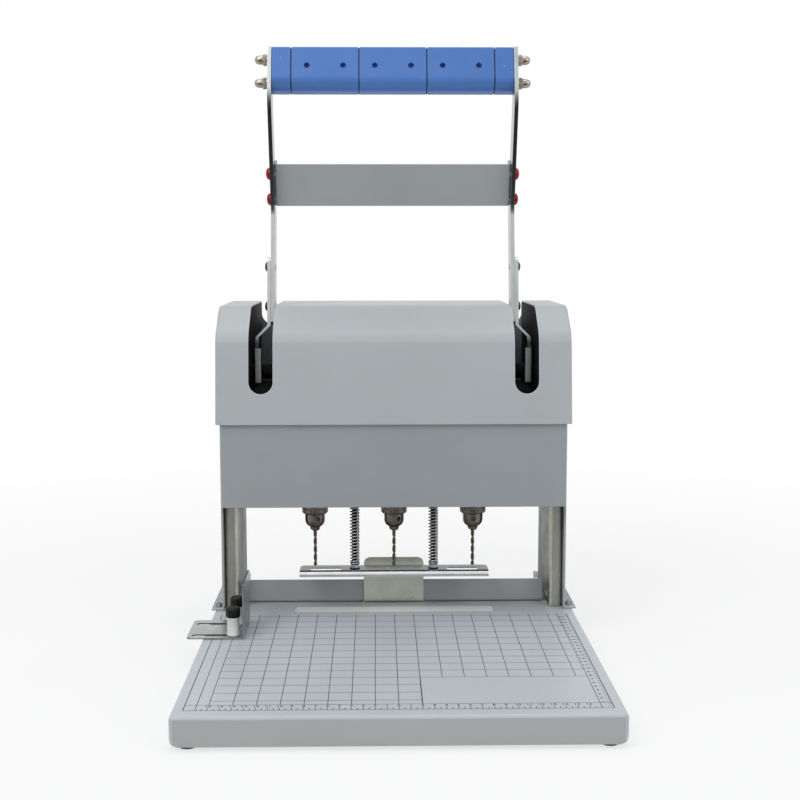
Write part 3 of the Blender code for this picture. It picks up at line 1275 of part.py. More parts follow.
def make_chuck(side, x):
    """Key chuck on its spindle: turned body with key holes, toothed key ring, jaws in the nose."""
    nose = CHUCK_NOSE_Z
    spindle_top = motor_seat + MOTOR_LENGTH - MOTOR_CAP - SEAT_GAP
    shoulder = nose + CHUCK_SHOULDER
    ring_z = CHUCK_RING_Z + CHUCK_TOOTH_LENGTH
    profile = [(0.0, CHUCK_RING_Z), (CHUCK_BORE_RADIUS, CHUCK_RING_Z), (CHUCK_BORE_RADIUS, nose),
               (CHUCK_NOSE_RADIUS + JAW_OUT, nose), (CHUCK_BODY_RADIUS, shoulder),
               (CHUCK_BODY_RADIUS, ring_z), (CHUCK_RING_RADIUS, ring_z),
               (CHUCK_RING_RADIUS, CHUCK_RING_TOP_Z),
               (CHUCK_BODY_RADIUS, CHUCK_RING_TOP_Z), (CHUCK_BODY_RADIUS - JAW_OUT, CHUCK_TOP_Z),
               (SPINDLE_RADIUS, CHUCK_TOP_Z), (SPINDLE_RADIUS, spindle_top), (0.0, spindle_top)]
    name = f"chuck_{side}"
    chuck = add_object(name, turned_mesh(name, profile, CHUCK_SIDES, (x, DRILL_Y, 0.0), (x, DRILL_Y, 1.0)),
                       CHUCK_STEEL)
    bore = circle((0.0, 0.0), CHUCK_BODY_RADIUS - CHUCK_TOOTH, HOLE_SIDES)
    teeth = plate_mesh("teeth", [toothed_ring(), bore], CHUCK_RING_Z, ring_z + CHUCK_TOOTH, ALONG_Z)
    teeth.transform(Matrix.Translation((x, DRILL_Y, 0.0)))
    fuse(chuck, add_object(f"{name}_teeth", teeth))
    jaws = []
    for step in range(JAW_COUNT):
        bm = bmesh.new()
        add_box(bm, (DRILL_RADIUS + SEAT_GAP, -JAW_WIDTH / 2, -JAW_OUT),
                (CHUCK_BORE_RADIUS + JAW_OUT, JAW_WIDTH / 2, JAW_LENGTH))
        turn = Matrix.Rotation(2 * math.pi * step / JAW_COUNT, 4, "Z")
        bm.transform(Matrix.Translation((x, DRILL_Y, nose)) @ turn)
        jaws.append(mesh_from(bm, "jaw"))
    fuse(chuck, join_meshes(f"{name}_jaws", jaws))
    bm = bmesh.new()
    for step in range(JAW_COUNT):
        angle = 2 * math.pi * (step + CHUCK_KEY_TURN) / JAW_COUNT
        out = Vector((math.cos(angle), math.sin(angle), 0.0))
        centre = Vector((x, DRILL_Y, CHUCK_RING_Z - CHUCK_KEY_DROP))
        add_cylinder(bm, CHUCK_KEY_RADIUS, centre + out * (CHUCK_BODY_RADIUS + CUT_OVERRUN),
                     centre + out * (CHUCK_BODY_RADIUS - CHUCK_KEY_DEPTH), HOLE_SIDES)
    cut(chuck, cutter_from(f"{name}_key_holes", bm))
    return chuck


def make_drill(side, x):
    """Twist drill: a two-flute section carried up the bit while it turns, with a round shank."""
    steps = round((CHUCK_NOSE_Z - DRILL_TIP_Z + CHUCK_SHOULDER) / DRILL_STEP)
    shank_z = DRILL_TIP_Z + steps * DRILL_STEP
    bm = bmesh.new()
    web = DRILL_RADIUS * DRILL_WEB_SHARE

    def section(z, turn, scale=1.0, round_share=0.0):
        ring = []
        for index in range(DRILL_SIDES):
            angle = 2 * math.pi * index / DRILL_SIDES
            fluted = web + (DRILL_RADIUS - web) * abs(math.cos(angle)) ** DRILL_FLUTE_SHARE
            radius = scale * (fluted + (DRILL_RADIUS - fluted) * round_share)
            across = radius * math.cos(angle + turn)
            along = radius * math.sin(angle + turn)
            ring.append(bm.verts.new((x + across, DRILL_Y + along, z)))
        return ring

    rings = [section(DRILL_TIP_Z, 0.0, DRILL_WEB_SHARE)]
    for step in range(1, steps + 1):
        z = DRILL_TIP_Z + step * DRILL_STEP
        turn = 2 * math.pi * (z - DRILL_TIP_Z) / DRILL_LEAD
        rings.append(section(z, turn, round_share=float(step == steps)))
    turn = 2 * math.pi * (shank_z - DRILL_TIP_Z) / DRILL_LEAD
    rings.append(section(CHUCK_RING_Z - SEAT_GAP, turn, round_share=1.0))
    for lower, upper in zip(rings, rings[1:]):
        for index in range(DRILL_SIDES):
            following = (index + 1) % DRILL_SIDES
            bm.faces.new((lower[index], lower[following], upper[following], upper[index]))
    bm.faces.new(rings[0][::-1])
    bm.faces.new(rings[-1])
    return add_object(f"drill_bit_{side}", mesh_from(bm, f"drill_bit_{side}"), STEEL)


def make_spindles():
    made = {}
    for side, step in SPINDLES:
        x = step * DRILL_PITCH
        made[side] = [make_chuck(side, x), make_drill(side, x)]
    return made


# Press bar
def make_press():
    """Press bar on two sprung rods that slide in the carriage."""
    front = PRESS_FRONT_Y
    back = PRESS_FRONT_Y + PRESS_DEPTH
    path = rounded([(back, PRESS_TOP_Z, 0.0), (front, PRESS_TOP_Z, PRESS_BEND),
                    (front, PRESS_TOP_Z - PRESS_LIP, 0.0)], closed=False)
    bar = bent_sheet("press_bar", path, -PRESS_LENGTH / 2, PRESS_LENGTH / 2, ALONG_X, PRESS_SHEET, POLISHED,
                     inward=1.0)
    half = PRESS_LENGTH / 2
    low = PRESS_TOP_Z - PRESS_SHEET - PRESS_CUT_OVERRUN
    high = PRESS_TOP_Z + CUT_OVERRUN
    slot_low = DRILL_Y - PRESS_SLOT_WIDTH / 2
    slot_high = DRILL_Y + PRESS_SLOT_WIDTH / 2
    outer = DRILL_PITCH + PRESS_SLOT_OUT
    centre = PRESS_CENTRE_SLOT / 2
    outlines = [rectangle((-centre, slot_low), (centre, slot_high), PRESS_SLOT_CORNER)]
    for side, sign in SIDES:
        near, far = sorted((sign * (outer - PRESS_SLOT_LENGTH), sign * outer))
        outlines += [corner_bit((sign * half, back), (-sign, -1), PRESS_CORNER),
                     rectangle((near, slot_low), (far, slot_high), PRESS_SLOT_CORNER),
                     circle((sign * PRESS_ROD_X, press_rod_y()), PRESS_ROD_RADIUS + SEAT_GAP, HOLE_SIDES)]
    bits = [plate_mesh("bit", [outline], low, high, ALONG_Z) for outline in outlines]
    cut(bar, join_meshes("press_bar_cuts", bits))

    rods = []
    springs = []
    upper_nut = carriage_top + SEAT_GAP
    lower_nut = PRESS_TOP_Z + SEAT_GAP
    for side, sign in SIDES:
        x = sign * PRESS_ROD_X
        y = press_rod_y()
        bm = bmesh.new()
        add_cylinder(bm, PRESS_ROD_RADIUS, (x, y, PRESS_TOP_Z - PRESS_SHEET),
                     (x, y, upper_nut + PRESS_NUT + PRESS_SHEET), ROD_SIDES)
        rod = add_object(f"press_rod_{side}", mesh_from(bm, f"press_rod_{side}"), STEEL)
        hexagon = circle((x, y), PRESS_NUT_ACROSS / math.sqrt(3), HEX_SIDES)
        nuts = [plate_mesh("nut", [hexagon], level, level + PRESS_NUT, ALONG_Z)
                for level in (lower_nut, upper_nut)]
        fuse(rod, join_meshes(f"press_rod_{side}_nuts", nuts))
        rods.append(rod)
        name = f"press_spring_{side}"
        mesh = helix_tube(name, (x, y), PRESS_SPRING_RADIUS, PRESS_SPRING_WIRE, PRESS_SPRING_PITCH,
                          lower_nut + PRESS_NUT + SEAT_GAP, CARRIAGE_Z - SEAT_GAP)
        springs.append(add_object(name, mesh, STEEL))
    return [bar] + rods, springs


# Side guide
def make_side_guide():
    """Sliding angle on the base, and the two posts and knobs that clamp it."""
    plate_z = base_top + SEAT_GAP
    wall_x = -GUIDE_WALL_X
    path = rounded([(-guide_reach_x, plate_z, 0.0), (wall_x, plate_z, GUIDE_BEND),
                    (wall_x, plate_z + GUIDE_HEIGHT, 0.0)], closed=False)
    back = GUIDE_FRONT_Y + GUIDE_DEPTH
    guide = bent_sheet("side_guide", path, GUIDE_FRONT_Y, back, ALONG_Y, GUIDE_SHEET, POLISHED, inward=-1.0)
    radius = GUIDE_SLOT_WIDTH / 2
    start = GUIDE_SLOT_START - guide_reach_x + radius
    end = GUIDE_SLOT_START - guide_reach_x + GUIDE_SLOT_LENGTH - radius
    flat = [capsule((start, y), (end, y), radius, ARC_STEPS) for x, y in stud_places()]
    ends = ((GUIDE_FRONT_Y, 1), (back, -1))
    flat += [corner_bit((-guide_reach_x, y), (1, towards), GUIDE_CORNER) for y, towards in ends]
    bits = [plate_mesh("bit", [outline], plate_z - CUT_OVERRUN, guide_plate_top + CUT_OVERRUN, ALONG_Z)
            for outline in flat]
    top = plate_z + GUIDE_HEIGHT
    bits += [plate_mesh("bit", [corner_bit((y, top), (towards, -1), GUIDE_CORNER)],
                        wall_x - GUIDE_SHEET - CUT_OVERRUN, wall_x + CUT_OVERRUN, ALONG_X)
             for y, towards in ends]
    cut(guide, join_meshes("side_guide_cuts", bits))

    posts = []
    knobs = []
    sleeve_low = guide_plate_top + SEAT_GAP
    sleeve_top = sleeve_low + SLEEVE_HEIGHT
    knob_low = sleeve_top + SEAT_GAP
    stud_top = knob_low + KNOB_BORE_DEPTH - SEAT_GAP
    profile = [(0.0, base_top - BASE_SHEET), (STUD_RADIUS, base_top - BASE_SHEET), (STUD_RADIUS, sleeve_low),
               (SLEEVE_RADIUS, sleeve_low), (SLEEVE_RADIUS, sleeve_top), (STUD_RADIUS, sleeve_top),
               (STUD_RADIUS, stud_top), (0.0, stud_top)]
    for (x, y), name in zip(stud_places(), ("front", "rear")):
        mesh = turned_mesh(f"guide_post_{name}", profile, POST_SIDES, (x, y, 0), (x, y, 1))
        posts.append(add_object(f"guide_post_{name}", mesh, NYLON))
        ribs = []
        for rib in range(KNOB_RIB_COUNT * 2):
            angle = math.pi * rib / KNOB_RIB_COUNT
            radius = KNOB_RADIUS - KNOB_RIB * (rib % 2)
            ribs.append((x + radius * math.cos(angle), y + radius * math.sin(angle)))
        knob = plate(f"guide_knob_{name}", [ribs], knob_low, knob_low + KNOB_HEIGHT, ALONG_Z, BLACK_PLASTIC)
        bm = bmesh.new()
        add_cylinder(bm, STUD_RADIUS + STUD_CLEARANCE, (x, y, knob_low - CUT_OVERRUN),
                     (x, y, knob_low + KNOB_BORE_DEPTH), HOLE_SIDES)
        cut(knob, cutter_from(f"guide_knob_{name}_bore", bm))
        knobs.append(knob)
    return [guide], posts, knobs


def make_depth_stop():
    foot_z = base_top + SEAT_GAP
    face_y = FENCE_FACE_Y - STOP_FACE_GAP - STOP_SHEET
    path = rounded([(face_y, STOP_TOP_Z, 0.0), (face_y, foot_z, STOP_BEND),
                    (face_y + STOP_FOOT, foot_z, 0.0)], closed=False)
    half = STOP_WIDTH / 2
    stop = bent_sheet("depth_stop", path, -half, half, ALONG_X, STOP_SHEET, POLISHED, inward=1.0)
    bits = [plate_mesh("bit", [corner_bit((sign * half, STOP_TOP_Z), (-sign, -1), STOP_CORNER)],
                       face_y - CUT_OVERRUN, face_y + STOP_SHEET + CUT_OVERRUN, ALONG_Y)
            for side, sign in SIDES]
    radius = STOP_SLOT_WIDTH / 2
    for x, y in stop_screw_places():
        slot = capsule((x, y - radius / 2), (x, y + STOP_TRAVEL + radius / 2), radius)
        bits.append(plate_mesh("slot", [slot], foot_z - CUT_OVERRUN, foot_z + STOP_SHEET + CUT_OVERRUN,
                               ALONG_Z))
    cut(stop, join_meshes("depth_stop_cuts", bits))
    return [stop]


# Back of the tower
def make_switch():
    """Rocker switch in the back panel: a rimmed housing and a rocker bent at its middle."""
    y = back_panel_y()
    wall = SWITCH_WALL
    half_width = SWITCH_WIDTH / 2
    half_height = SWITCH_HEIGHT / 2

    def window(grow, radius):
        return rectangle((SWITCH_X - half_width - grow, SWITCH_Z - half_height - grow),
                         (SWITCH_X + half_width + grow, SWITCH_Z + half_height + grow), radius)

    bezel_z = y + SEAT_GAP
    bezel = plate("switch_bezel", [window(SWITCH_RIM, SWITCH_RIM), window(-wall, wall / 2)], bezel_z,
                  bezel_z + SWITCH_BEZEL, ALONG_Y, BLACK_PLASTIC)
    fuse(bezel, plate("switch_housing", [window(0.0, wall), window(-wall / 2, wall / 2)], y - SWITCH_DEPTH,
                      bezel_z + SWITCH_BEZEL / 2, ALONG_Y))

    half_width -= wall + ROCKER_GAP
    half_height -= wall + ROCKER_GAP
    tilt = math.radians(ROCKER_TILT_DEG)
    face = bezel_z + SWITCH_BEZEL
    deep = face - ROCKER_DEPTH
    swing = half_height * math.sin(tilt)
    outline = [(deep, SWITCH_Z - half_height * math.cos(tilt)),
               (face - swing + ROCKER_PROUD, SWITCH_Z - half_height * math.cos(tilt)),
               (face, SWITCH_Z),
               (face + swing, SWITCH_Z + half_height * math.cos(tilt) - swing / 2),
               (deep, SWITCH_Z + half_height * math.cos(tilt) - swing)]
    rocker = plate("switch_rocker", [outline], SWITCH_X - half_width, SWITCH_X + half_width, ALONG_X,
                   BLACK_PLASTIC)
    return [bezel], [rocker]


def rocker_pivot():
    return (SWITCH_X, back_panel_y() + SWITCH_BEZEL - ROCKER_DEPTH / 2, SWITCH_Z)


def make_gland():
    """Cable gland: threaded tail through the panel, flange, and tapered cap."""
    flange = GLAND_RADIUS + GLAND_NUT / 2
    cap = SEAT_GAP + COVER_BACK_STEP
    profile = [(GLAND_BORE_RADIUS, -GLAND_TAIL), (GLAND_RADIUS, -GLAND_TAIL), (GLAND_RADIUS, SEAT_GAP),
               (flange, SEAT_GAP), (flange, cap), (GLAND_RADIUS, cap), (GLAND_RADIUS, cap + GLAND_CAP / 2),
               (GLAND_BORE_RADIUS + GLAND_NUT / 2, cap + GLAND_CAP), (GLAND_BORE_RADIUS, cap + GLAND_CAP)]
    y = back_panel_y()
    mesh = turned_mesh("cable_gland", profile, SHAFT_SIDES, (GLAND_X, y, GLAND_Z), (GLAND_X, y + 1, GLAND_Z))
    return [add_object("cable_gland", mesh, BLACK_PLASTIC)]


# Assembly
def carry(name, pieces, place):
    """Parents a body's pieces to an empty on its joint, or at the origin for the fixed frame."""
    axis = bpy.data.objects.new(name, None)
    parts.objects.link(axis)
    axis.empty_display_size = AXIS_MARK_SIZE
    axis.location = Vector(place) - Vector((machine_centre_x, machine_centre_y, 0.0))
    for piece in pieces:
        piece.parent = axis
        piece.matrix_parent_inverse = Matrix.Translation(-Vector(place))
    return axis


def build():
    clear_scene()
    make_collections()
    guide, guide_posts, knobs = make_side_guide()
    bezel, rocker = make_switch()
    depth_stop = make_depth_stop()
    fixed = (make_base() + make_feet() + make_pad() + make_fence() + make_columns() + make_side_plates()
             + make_panels() + make_cover() + make_liners() + make_bearings() + make_guides() + make_gland()
             + guide_posts + bezel)
    lever = (make_arms() + make_straps() + make_cross_plate() + make_grip() + make_tie_rods()
             + make_crankshaft())
    carriage = make_carriage() + make_motors()
    press_pieces, press_springs = make_press()
    spindles = make_spindles()
    carry("frame", fixed + list(cutters.objects), (0.0, 0.0, 0.0))
    carry("lever_axis", lever, (0.0, PIVOT_Y, PIVOT_Z))
    carry("carriage_axis", carriage + press_springs, (0.0, GUIDE_ROD_Y, GUIDE_BLOCK_LOW_Z))
    for side, step in SPINDLES:
        carry(f"spindle_{side}_axis", spindles[side], (step * DRILL_PITCH, DRILL_Y, CHUCK_NOSE_Z))
    carry("press_axis", press_pieces, (0.0, press_rod_y(), PRESS_TOP_Z))
    carry("side_guide_axis", guide, (-GUIDE_WALL_X, GUIDE_FRONT_Y, base_top))
    for (x, y), knob in zip(stud_places(), knobs):
        carry(f"{knob.name}_axis", [knob], (x, y, guide_plate_top))
    carry("depth_stop_axis", depth_stop, (0.0, FENCE_FACE_Y, base_top))
    carry("switch_axis", rocker, rocker_pivot())
    for thing in parts.objects:
        if thing.type == "MESH":
            thing.data.shade_smooth()
            thing.data.set_sharp_from_angle(angle=math.radians(SMOOTH_ANGLE_DEG))
    bpy.context.view_layer.update()
    nodes = [thing for thing in parts.objects if thing.type == "MESH"]
    print(f"{len(nodes)} pieces")


build()
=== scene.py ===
import json

from math import cos, pi, radians, sin

import bmesh
import bpy
from mathutils import Matrix, Vector

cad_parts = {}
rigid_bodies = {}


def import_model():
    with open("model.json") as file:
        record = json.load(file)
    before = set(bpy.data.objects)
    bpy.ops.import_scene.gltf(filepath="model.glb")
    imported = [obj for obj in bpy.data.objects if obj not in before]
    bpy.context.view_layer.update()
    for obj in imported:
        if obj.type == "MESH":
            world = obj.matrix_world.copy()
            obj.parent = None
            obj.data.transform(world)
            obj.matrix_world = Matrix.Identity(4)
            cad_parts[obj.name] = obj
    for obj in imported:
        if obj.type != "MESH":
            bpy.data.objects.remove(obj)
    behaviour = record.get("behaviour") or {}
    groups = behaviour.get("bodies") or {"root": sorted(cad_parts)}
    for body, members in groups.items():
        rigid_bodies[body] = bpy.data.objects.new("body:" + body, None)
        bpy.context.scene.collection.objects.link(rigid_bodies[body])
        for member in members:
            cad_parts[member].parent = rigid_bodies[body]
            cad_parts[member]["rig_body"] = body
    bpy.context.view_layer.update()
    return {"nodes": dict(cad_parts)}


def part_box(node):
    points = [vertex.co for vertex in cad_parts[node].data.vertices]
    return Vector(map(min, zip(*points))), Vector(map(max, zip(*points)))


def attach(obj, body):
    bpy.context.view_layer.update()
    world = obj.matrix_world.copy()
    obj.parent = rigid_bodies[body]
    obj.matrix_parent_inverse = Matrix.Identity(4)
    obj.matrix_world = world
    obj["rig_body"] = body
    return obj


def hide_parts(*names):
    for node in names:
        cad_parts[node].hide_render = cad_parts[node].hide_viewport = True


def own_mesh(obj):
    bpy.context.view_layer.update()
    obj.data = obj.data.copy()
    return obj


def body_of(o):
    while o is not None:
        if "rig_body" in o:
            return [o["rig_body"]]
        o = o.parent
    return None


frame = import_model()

mm = 0.001
white = (1.0, 1.0, 1.0, 1.0)
sides = (-1, 1)
hands = (("left", -1), ("right", 1))
machineOrigin = Vector((0.0061, -0.245, 0.0))  # centre plane, front edge of the base, floor


def at(x, y, z):
    return Vector((x, y, z)) * mm + machineOrigin


def tint(red, green, blue):
    # a screen colour, 0 to 255, as the shader's linear one
    levels = [level / 255 for level in (red, green, blue)]
    return tuple(v / 12.92 if v <= 0.04045 else ((v + 0.055) / 1.055) ** 2.4 for v in levels) + (1.0,)


class Wire:
    # an output socket that takes part in arithmetic; "|" gives the larger of two
    def __init__(self, nodes, socket):
        self.nodes = nodes
        self.socket = socket

    def maths(self, operation, first, second):
        return self.nodes.node("ShaderNodeMath", {"operation": operation}, {0: first, 1: second})

    def __add__(self, other):
        return self.maths("ADD", self, other)

    def __sub__(self, other):
        return self.maths("SUBTRACT", self, other)

    def __rsub__(self, other):
        return self.maths("SUBTRACT", other, self)

    def __mul__(self, other):
        return self.maths("MULTIPLY", self, other)

    def __pow__(self, other):
        return self.maths("POWER", self, other)

    def __or__(self, other):
        return self.maths("MAXIMUM", self, other)

    __radd__ = __add__
    __rmul__ = __mul__


class Nodes:
    # a node tree that is added to by calls, and wired by expressions
    def __init__(self, tree):
        self.tree = tree

    def node(self, kind, settings, values, output=0):
        made = self.tree.nodes.new(kind)
        for key, value in settings.items():
            setattr(made, key, value)
        for key, value in values.items():
            self.join(value, made.inputs[key])
        return Wire(self, made.outputs[output])

    def join(self, value, socket):
        if isinstance(value, Wire):
            self.tree.links.new(value.socket, socket)
        else:
            socket.default_value = value

    def axes(self, place):
        split = self.node("ShaderNodeSeparateXYZ", {}, {"Vector": place})
        return [Wire(self, out) for out in split.socket.node.outputs]

    def rays(self):
        # what the lens sees, straight or through glass, and what metal sees
        path = self.node("ShaderNodeLightPath", {}, {}).socket.node
        return [Wire(self, path.outputs[f"Is {kind} Ray"]) for kind in ("Camera", "Transmission", "Glossy")]

    def surface(self, factor, first, second, output):
        mixed = self.node("ShaderNodeMixShader", {}, {0: factor, 1: first, 2: second})
        self.join(mixed, self.tree.nodes[output].inputs["Surface"])


class Finish(Nodes):
    # one material, whose patterns lie on Object coordinates
    def __init__(self, name, colour, roughness, metallic=0.0, slot="machine_paint", specular=0.5):
        self.material = bpy.data.materials.new(name)
        self.material.use_nodes = True
        super().__init__(self.material.node_tree)
        self.slot = slot
        self.shader = self.tree.nodes["Principled BSDF"]
        self.feed("Base Color", colour)
        self.feed("Roughness", roughness)
        self.feed("Metallic", metallic)
        self.feed("Specular IOR Level", specular)
        self.place = self.node("ShaderNodeTexCoord", {}, {}, "Object")

    def feed(self, name, value):
        self.join(value, self.shader.inputs[name])

    def stretched(self, x, y, z):
        return self.node("ShaderNodeMapping", {}, {"Vector": self.place, "Scale": (x, y, z)})

    def noise(self, scale, detail=3.0, rough=0.5, vector=None):
        values = {"Vector": vector or self.place, "Scale": scale, "Detail": detail, "Roughness": rough}
        return self.node("ShaderNodeTexNoise", {}, values)

    def span(self, wire, low, high, fromLow=0.3, fromHigh=0.7):
        keys = {"Value": wire, "From Min": fromLow, "From Max": fromHigh, "To Min": low, "To Max": high}
        return self.node("ShaderNodeMapRange", {}, keys)

    def blend(self, factor, first, second):
        return self.node("ShaderNodeMix", {"data_type": "RGBA"}, {0: factor, 6: first, 7: second}, 2)

    def bump(self, height, strength, distance):
        values = {"Height": height, "Strength": strength, "Distance": distance}
        self.feed("Normal", self.node("ShaderNodeBump", {}, values))


def shade(colour, factor):
    return tuple(min(1.0, channel * factor) for channel in colour[:3]) + (1.0,)


print("finishes")

paintSettings = {
    "peel": (1400.0, 0.00005),  # pattern scale, depth in metres
    "cloud": 9.0,
    "speckle": 2600.0,
    "dullness": 38.0,
    "roughness": (0.36, 0.47),
}


def paintedSteel(name, colour, slot="machine_paint"):
    # powder coat: a fine orange peel, faint clouding and a little dust
    peel, depth = paintSettings["peel"]
    coat = Finish(name, colour, 0.42, slot=slot)
    cloud = coat.noise(paintSettings["cloud"], 4.0, 0.6)
    grain = coat.noise(paintSettings["speckle"], 1.0)
    tone = coat.blend(coat.span(cloud, 0.0, 1.0), shade(colour, 0.955), shade(colour, 1.03))
    coat.feed("Base Color", coat.blend(coat.span(grain, 0.0, 0.10), tone, shade(colour, 0.86)))
    dull = coat.noise(paintSettings["dullness"], 5.0, 0.65)
    coat.feed("Roughness", coat.span(dull, *paintSettings["roughness"]))
    coat.bump(coat.noise(peel, 1.0), 0.35, depth)
    return coat


zincSettings = {"spangle": 170.0, "streak": 260.0, "cloud": 26.0, "depth": 0.00003}


def zincPlate(name, colour, roughness=0.38, slot="zinc_plated_steel", along=(1.0, 1.0, 0.16)):
    # galvanised sheet: soft spangle, rolling streaks along the sheet and dull handling marks
    zinc = Finish(name, colour, roughness, 0.9, slot=slot)
    cells = {"Vector": zinc.stretched(*along), "Scale": zincSettings["spangle"]}
    spangle = zinc.node("ShaderNodeTexVoronoi", {}, cells, "Color")
    flakes = zinc.node("ShaderNodeSeparateColor", {}, {"Color": spangle})
    streak = zinc.noise(zincSettings["streak"], 4.0, 0.6, zinc.stretched(*along))
    cloud = zinc.noise(zincSettings["cloud"], 5.0, 0.65)
    tone = zinc.blend(zinc.span(cloud, 0.0, 1.0), shade(colour, 0.84), shade(colour, 1.1))
    tone = zinc.blend(flakes * 0.16, tone, shade(colour, 1.25))
    zinc.feed("Base Color", zinc.blend(zinc.span(streak, 0.0, 0.22), tone, shade(colour, 0.7)))
    zinc.feed("Roughness", zinc.span(cloud, roughness - 0.08, roughness + 0.12) + flakes * 0.05)
    zinc.bump(streak, 0.25, zincSettings["depth"])
    return zinc


brushSettings = {"haze": 45.0, "depth": 0.00001}


def brushedSteel(name, colour, roughness, slot, along=(0.03, 1.0, 1.0), lines=1500.0):
    # long fine scratches in the grinding direction
    steel = Finish(name, colour, roughness, 1.0, slot=slot)
    scratch = steel.noise(lines, 3.0, 0.7, steel.stretched(*along))
    haze = steel.noise(brushSettings["haze"], 4.0, 0.6)
    tone = steel.blend(steel.span(haze, 0.0, 1.0), shade(colour, 0.9), shade(colour, 1.06))
    steel.feed("Base Color", steel.blend(steel.span(scratch, 0.0, 0.2), tone, shade(colour, 0.84)))
    steel.feed("Roughness", steel.span(scratch, roughness - 0.05, roughness + 0.1))
    steel.bump(scratch, 0.12, brushSettings["depth"])
    return steel


platingSettings = {"patch": 120.0, "turning": 1800.0, "depth": 0.00002}


def platedMetal(name, colour, roughness, slot, stain=0.75):
    # small turned or plated parts: fine turning noise with darker patches
    plate = Finish(name, colour, roughness, 1.0, slot=slot)
    patch = plate.noise(platingSettings["patch"], 4.0, 0.6)
    fine = plate.noise(platingSettings["turning"], 2.0)
    tone = plate.blend(plate.span(patch, 0.0, 1.0), shade(colour, stain), shade(colour, 1.05))
    plate.feed("Base Color", tone)
    plate.feed("Roughness", plate.span(patch, roughness - 0.05, roughness + 0.09) + fine * 0.04)
    plate.bump(fine, 0.12, platingSettings["depth"])
    return plate


mouldSettings = {"flow": 22.0, "worn": 60.0}


def mouldedPlastic(name, colour, roughness, slot, grain=900.0, depth=0.00004, specular=0.5):
    # fine spark-eroded grain, a faint flow cloud and worn, shinier patches
    plastic = Finish(name, colour, roughness, slot=slot, specular=specular)
    cloud = plastic.noise(mouldSettings["flow"], 4.0, 0.6)
    worn = plastic.noise(mouldSettings["worn"], 5.0, 0.7)
    tone = plastic.blend(plastic.span(cloud, 0.0, 1.0), shade(colour, 0.92), shade(colour, 1.06))
    plastic.feed("Base Color", tone)
    plastic.feed("Roughness", plastic.span(worn, roughness - 0.06, roughness + 0.1))
    plastic.bump(plastic.noise(grain, 2.0), 0.3, depth)
    return plastic


coverPaint = paintedSteel("coverPaint", tint(171, 176, 179))
# a darker copy of the cover paint: painted shade under the cover's overhang
panelShadePaint = paintedSteel("panelShadePaint", tint(154, 159, 162))
basePaint = paintedSteel("basePaint", tint(184, 191, 197))
# a darker copy of the base paint: painted shade on the base's front face
baseFrontShade = paintedSteel("baseFrontShade", tint(168, 172, 172))
# a painted highlight along the edges of the side plates and round the cover's slots, partly the bare metal of
# the cut sheet
edgeHighlightPaint = paintedSteel("edgeHighlightPaint", tint(228, 232, 232))
fenceSteel = paintedSteel("fenceSteel", tint(161, 164, 165), "zinc_plated_steel")
satinGrey = paintedSteel("satinGrey", tint(157, 162, 164), "zinc_plated_steel")

columnZinc = zincPlate("columnZinc", tint(172, 175, 167), 0.4)
columnShade = zincPlate("columnShade", tint(88, 94, 92), 0.4)
plateZinc = zincPlate("plateZinc", tint(178, 184, 186), 0.36, along=(0.16, 1.0, 1.0))
stopSteel = zincPlate("stopSteel", tint(214, 214, 200), 0.3, "polished_steel", (0.3, 1.0, 0.3))

armSteel = brushedSteel("armSteel", tint(186, 190, 192), 0.3, "bright_steel", (1.0, 1.0, 0.04))
# the arms' front edges, darkened between two heights below: a painted dark reflection
armEdgeShade = brushedSteel("armEdgeShade", tint(186, 190, 192), 0.3, "bright_steel", (1.0, 1.0, 0.04))
strapSteel = brushedSteel("strapSteel", tint(190, 194, 195), 0.34, "zinc_plated_steel", (1.0, 1.0, 0.05))
flangeSteel = brushedSteel("flangeSteel", tint(176, 180, 181), 0.3, "zinc_plated_steel", (1.0, 1.0, 0.05))
guideSteel = brushedSteel("guideSteel", tint(170, 174, 173), 0.3, "polished_steel", (1.0, 0.03, 1.0), 900.0)
pressSteel = brushedSteel("pressSteel", tint(214, 216, 218), 0.16, "polished_steel")
pressShade = brushedSteel("pressShade", tint(96, 98, 98), 0.2, "polished_steel")
# a painted highlight on the fence's top
fenceTopHighlight = brushedSteel("fenceTopHighlight", tint(250, 250, 250), 0.1, "zinc_plated_steel")
motorMetal = brushedSteel("motorAluminium", tint(176, 178, 180), 0.36, "machined_aluminium", (1.0, 1.0, 0.03))

# near black rod: painted shade between the press spring's coils
rodShadeSteel = platedMetal("rodShadeSteel", tint(34, 35, 36), 0.4, "bright_steel", 0.85)
springSteel = platedMetal("springSteel", tint(186, 188, 190), 0.1, "bright_steel", 0.8)
nickelNut = platedMetal("nickelNut", tint(168, 158, 148), 0.12, "bright_steel", 0.85)
screwZinc = platedMetal("screwZinc", tint(196, 200, 206), 0.3, "bright_steel")
# a darker copy of the screw metal: painted shade on the flange screw heads
flangeHeadShade = platedMetal("flangeHeadShade", tint(128, 132, 134), 0.24, "bright_steel", 0.7)
redZinc = platedMetal("redZinc", tint(158, 40, 50), 0.2, "bright_steel", 0.6)
chuckSteel = platedMetal("chuckSteel", tint(124, 116, 107), 0.22, "chuck_steel", 0.7)
drillSteel = platedMetal("drillSteel", tint(112, 101, 90), 0.1, "chuck_steel", 0.6)
bearingBronze = platedMetal("bearingBronze", tint(176, 134, 78), 0.36, "bearing_bronze")
# painted shade for the side guide's slot walls and edge lines
guideRimShade = platedMetal("guideRimShade", tint(104, 108, 110), 0.4, "zinc_plated_steel", 0.7)
# a painted highlight on the columns' round bends
columnBendHighlight = platedMetal("columnBendHighlight", tint(226, 220, 200), 0.3, "zinc_plated_steel", 0.8)

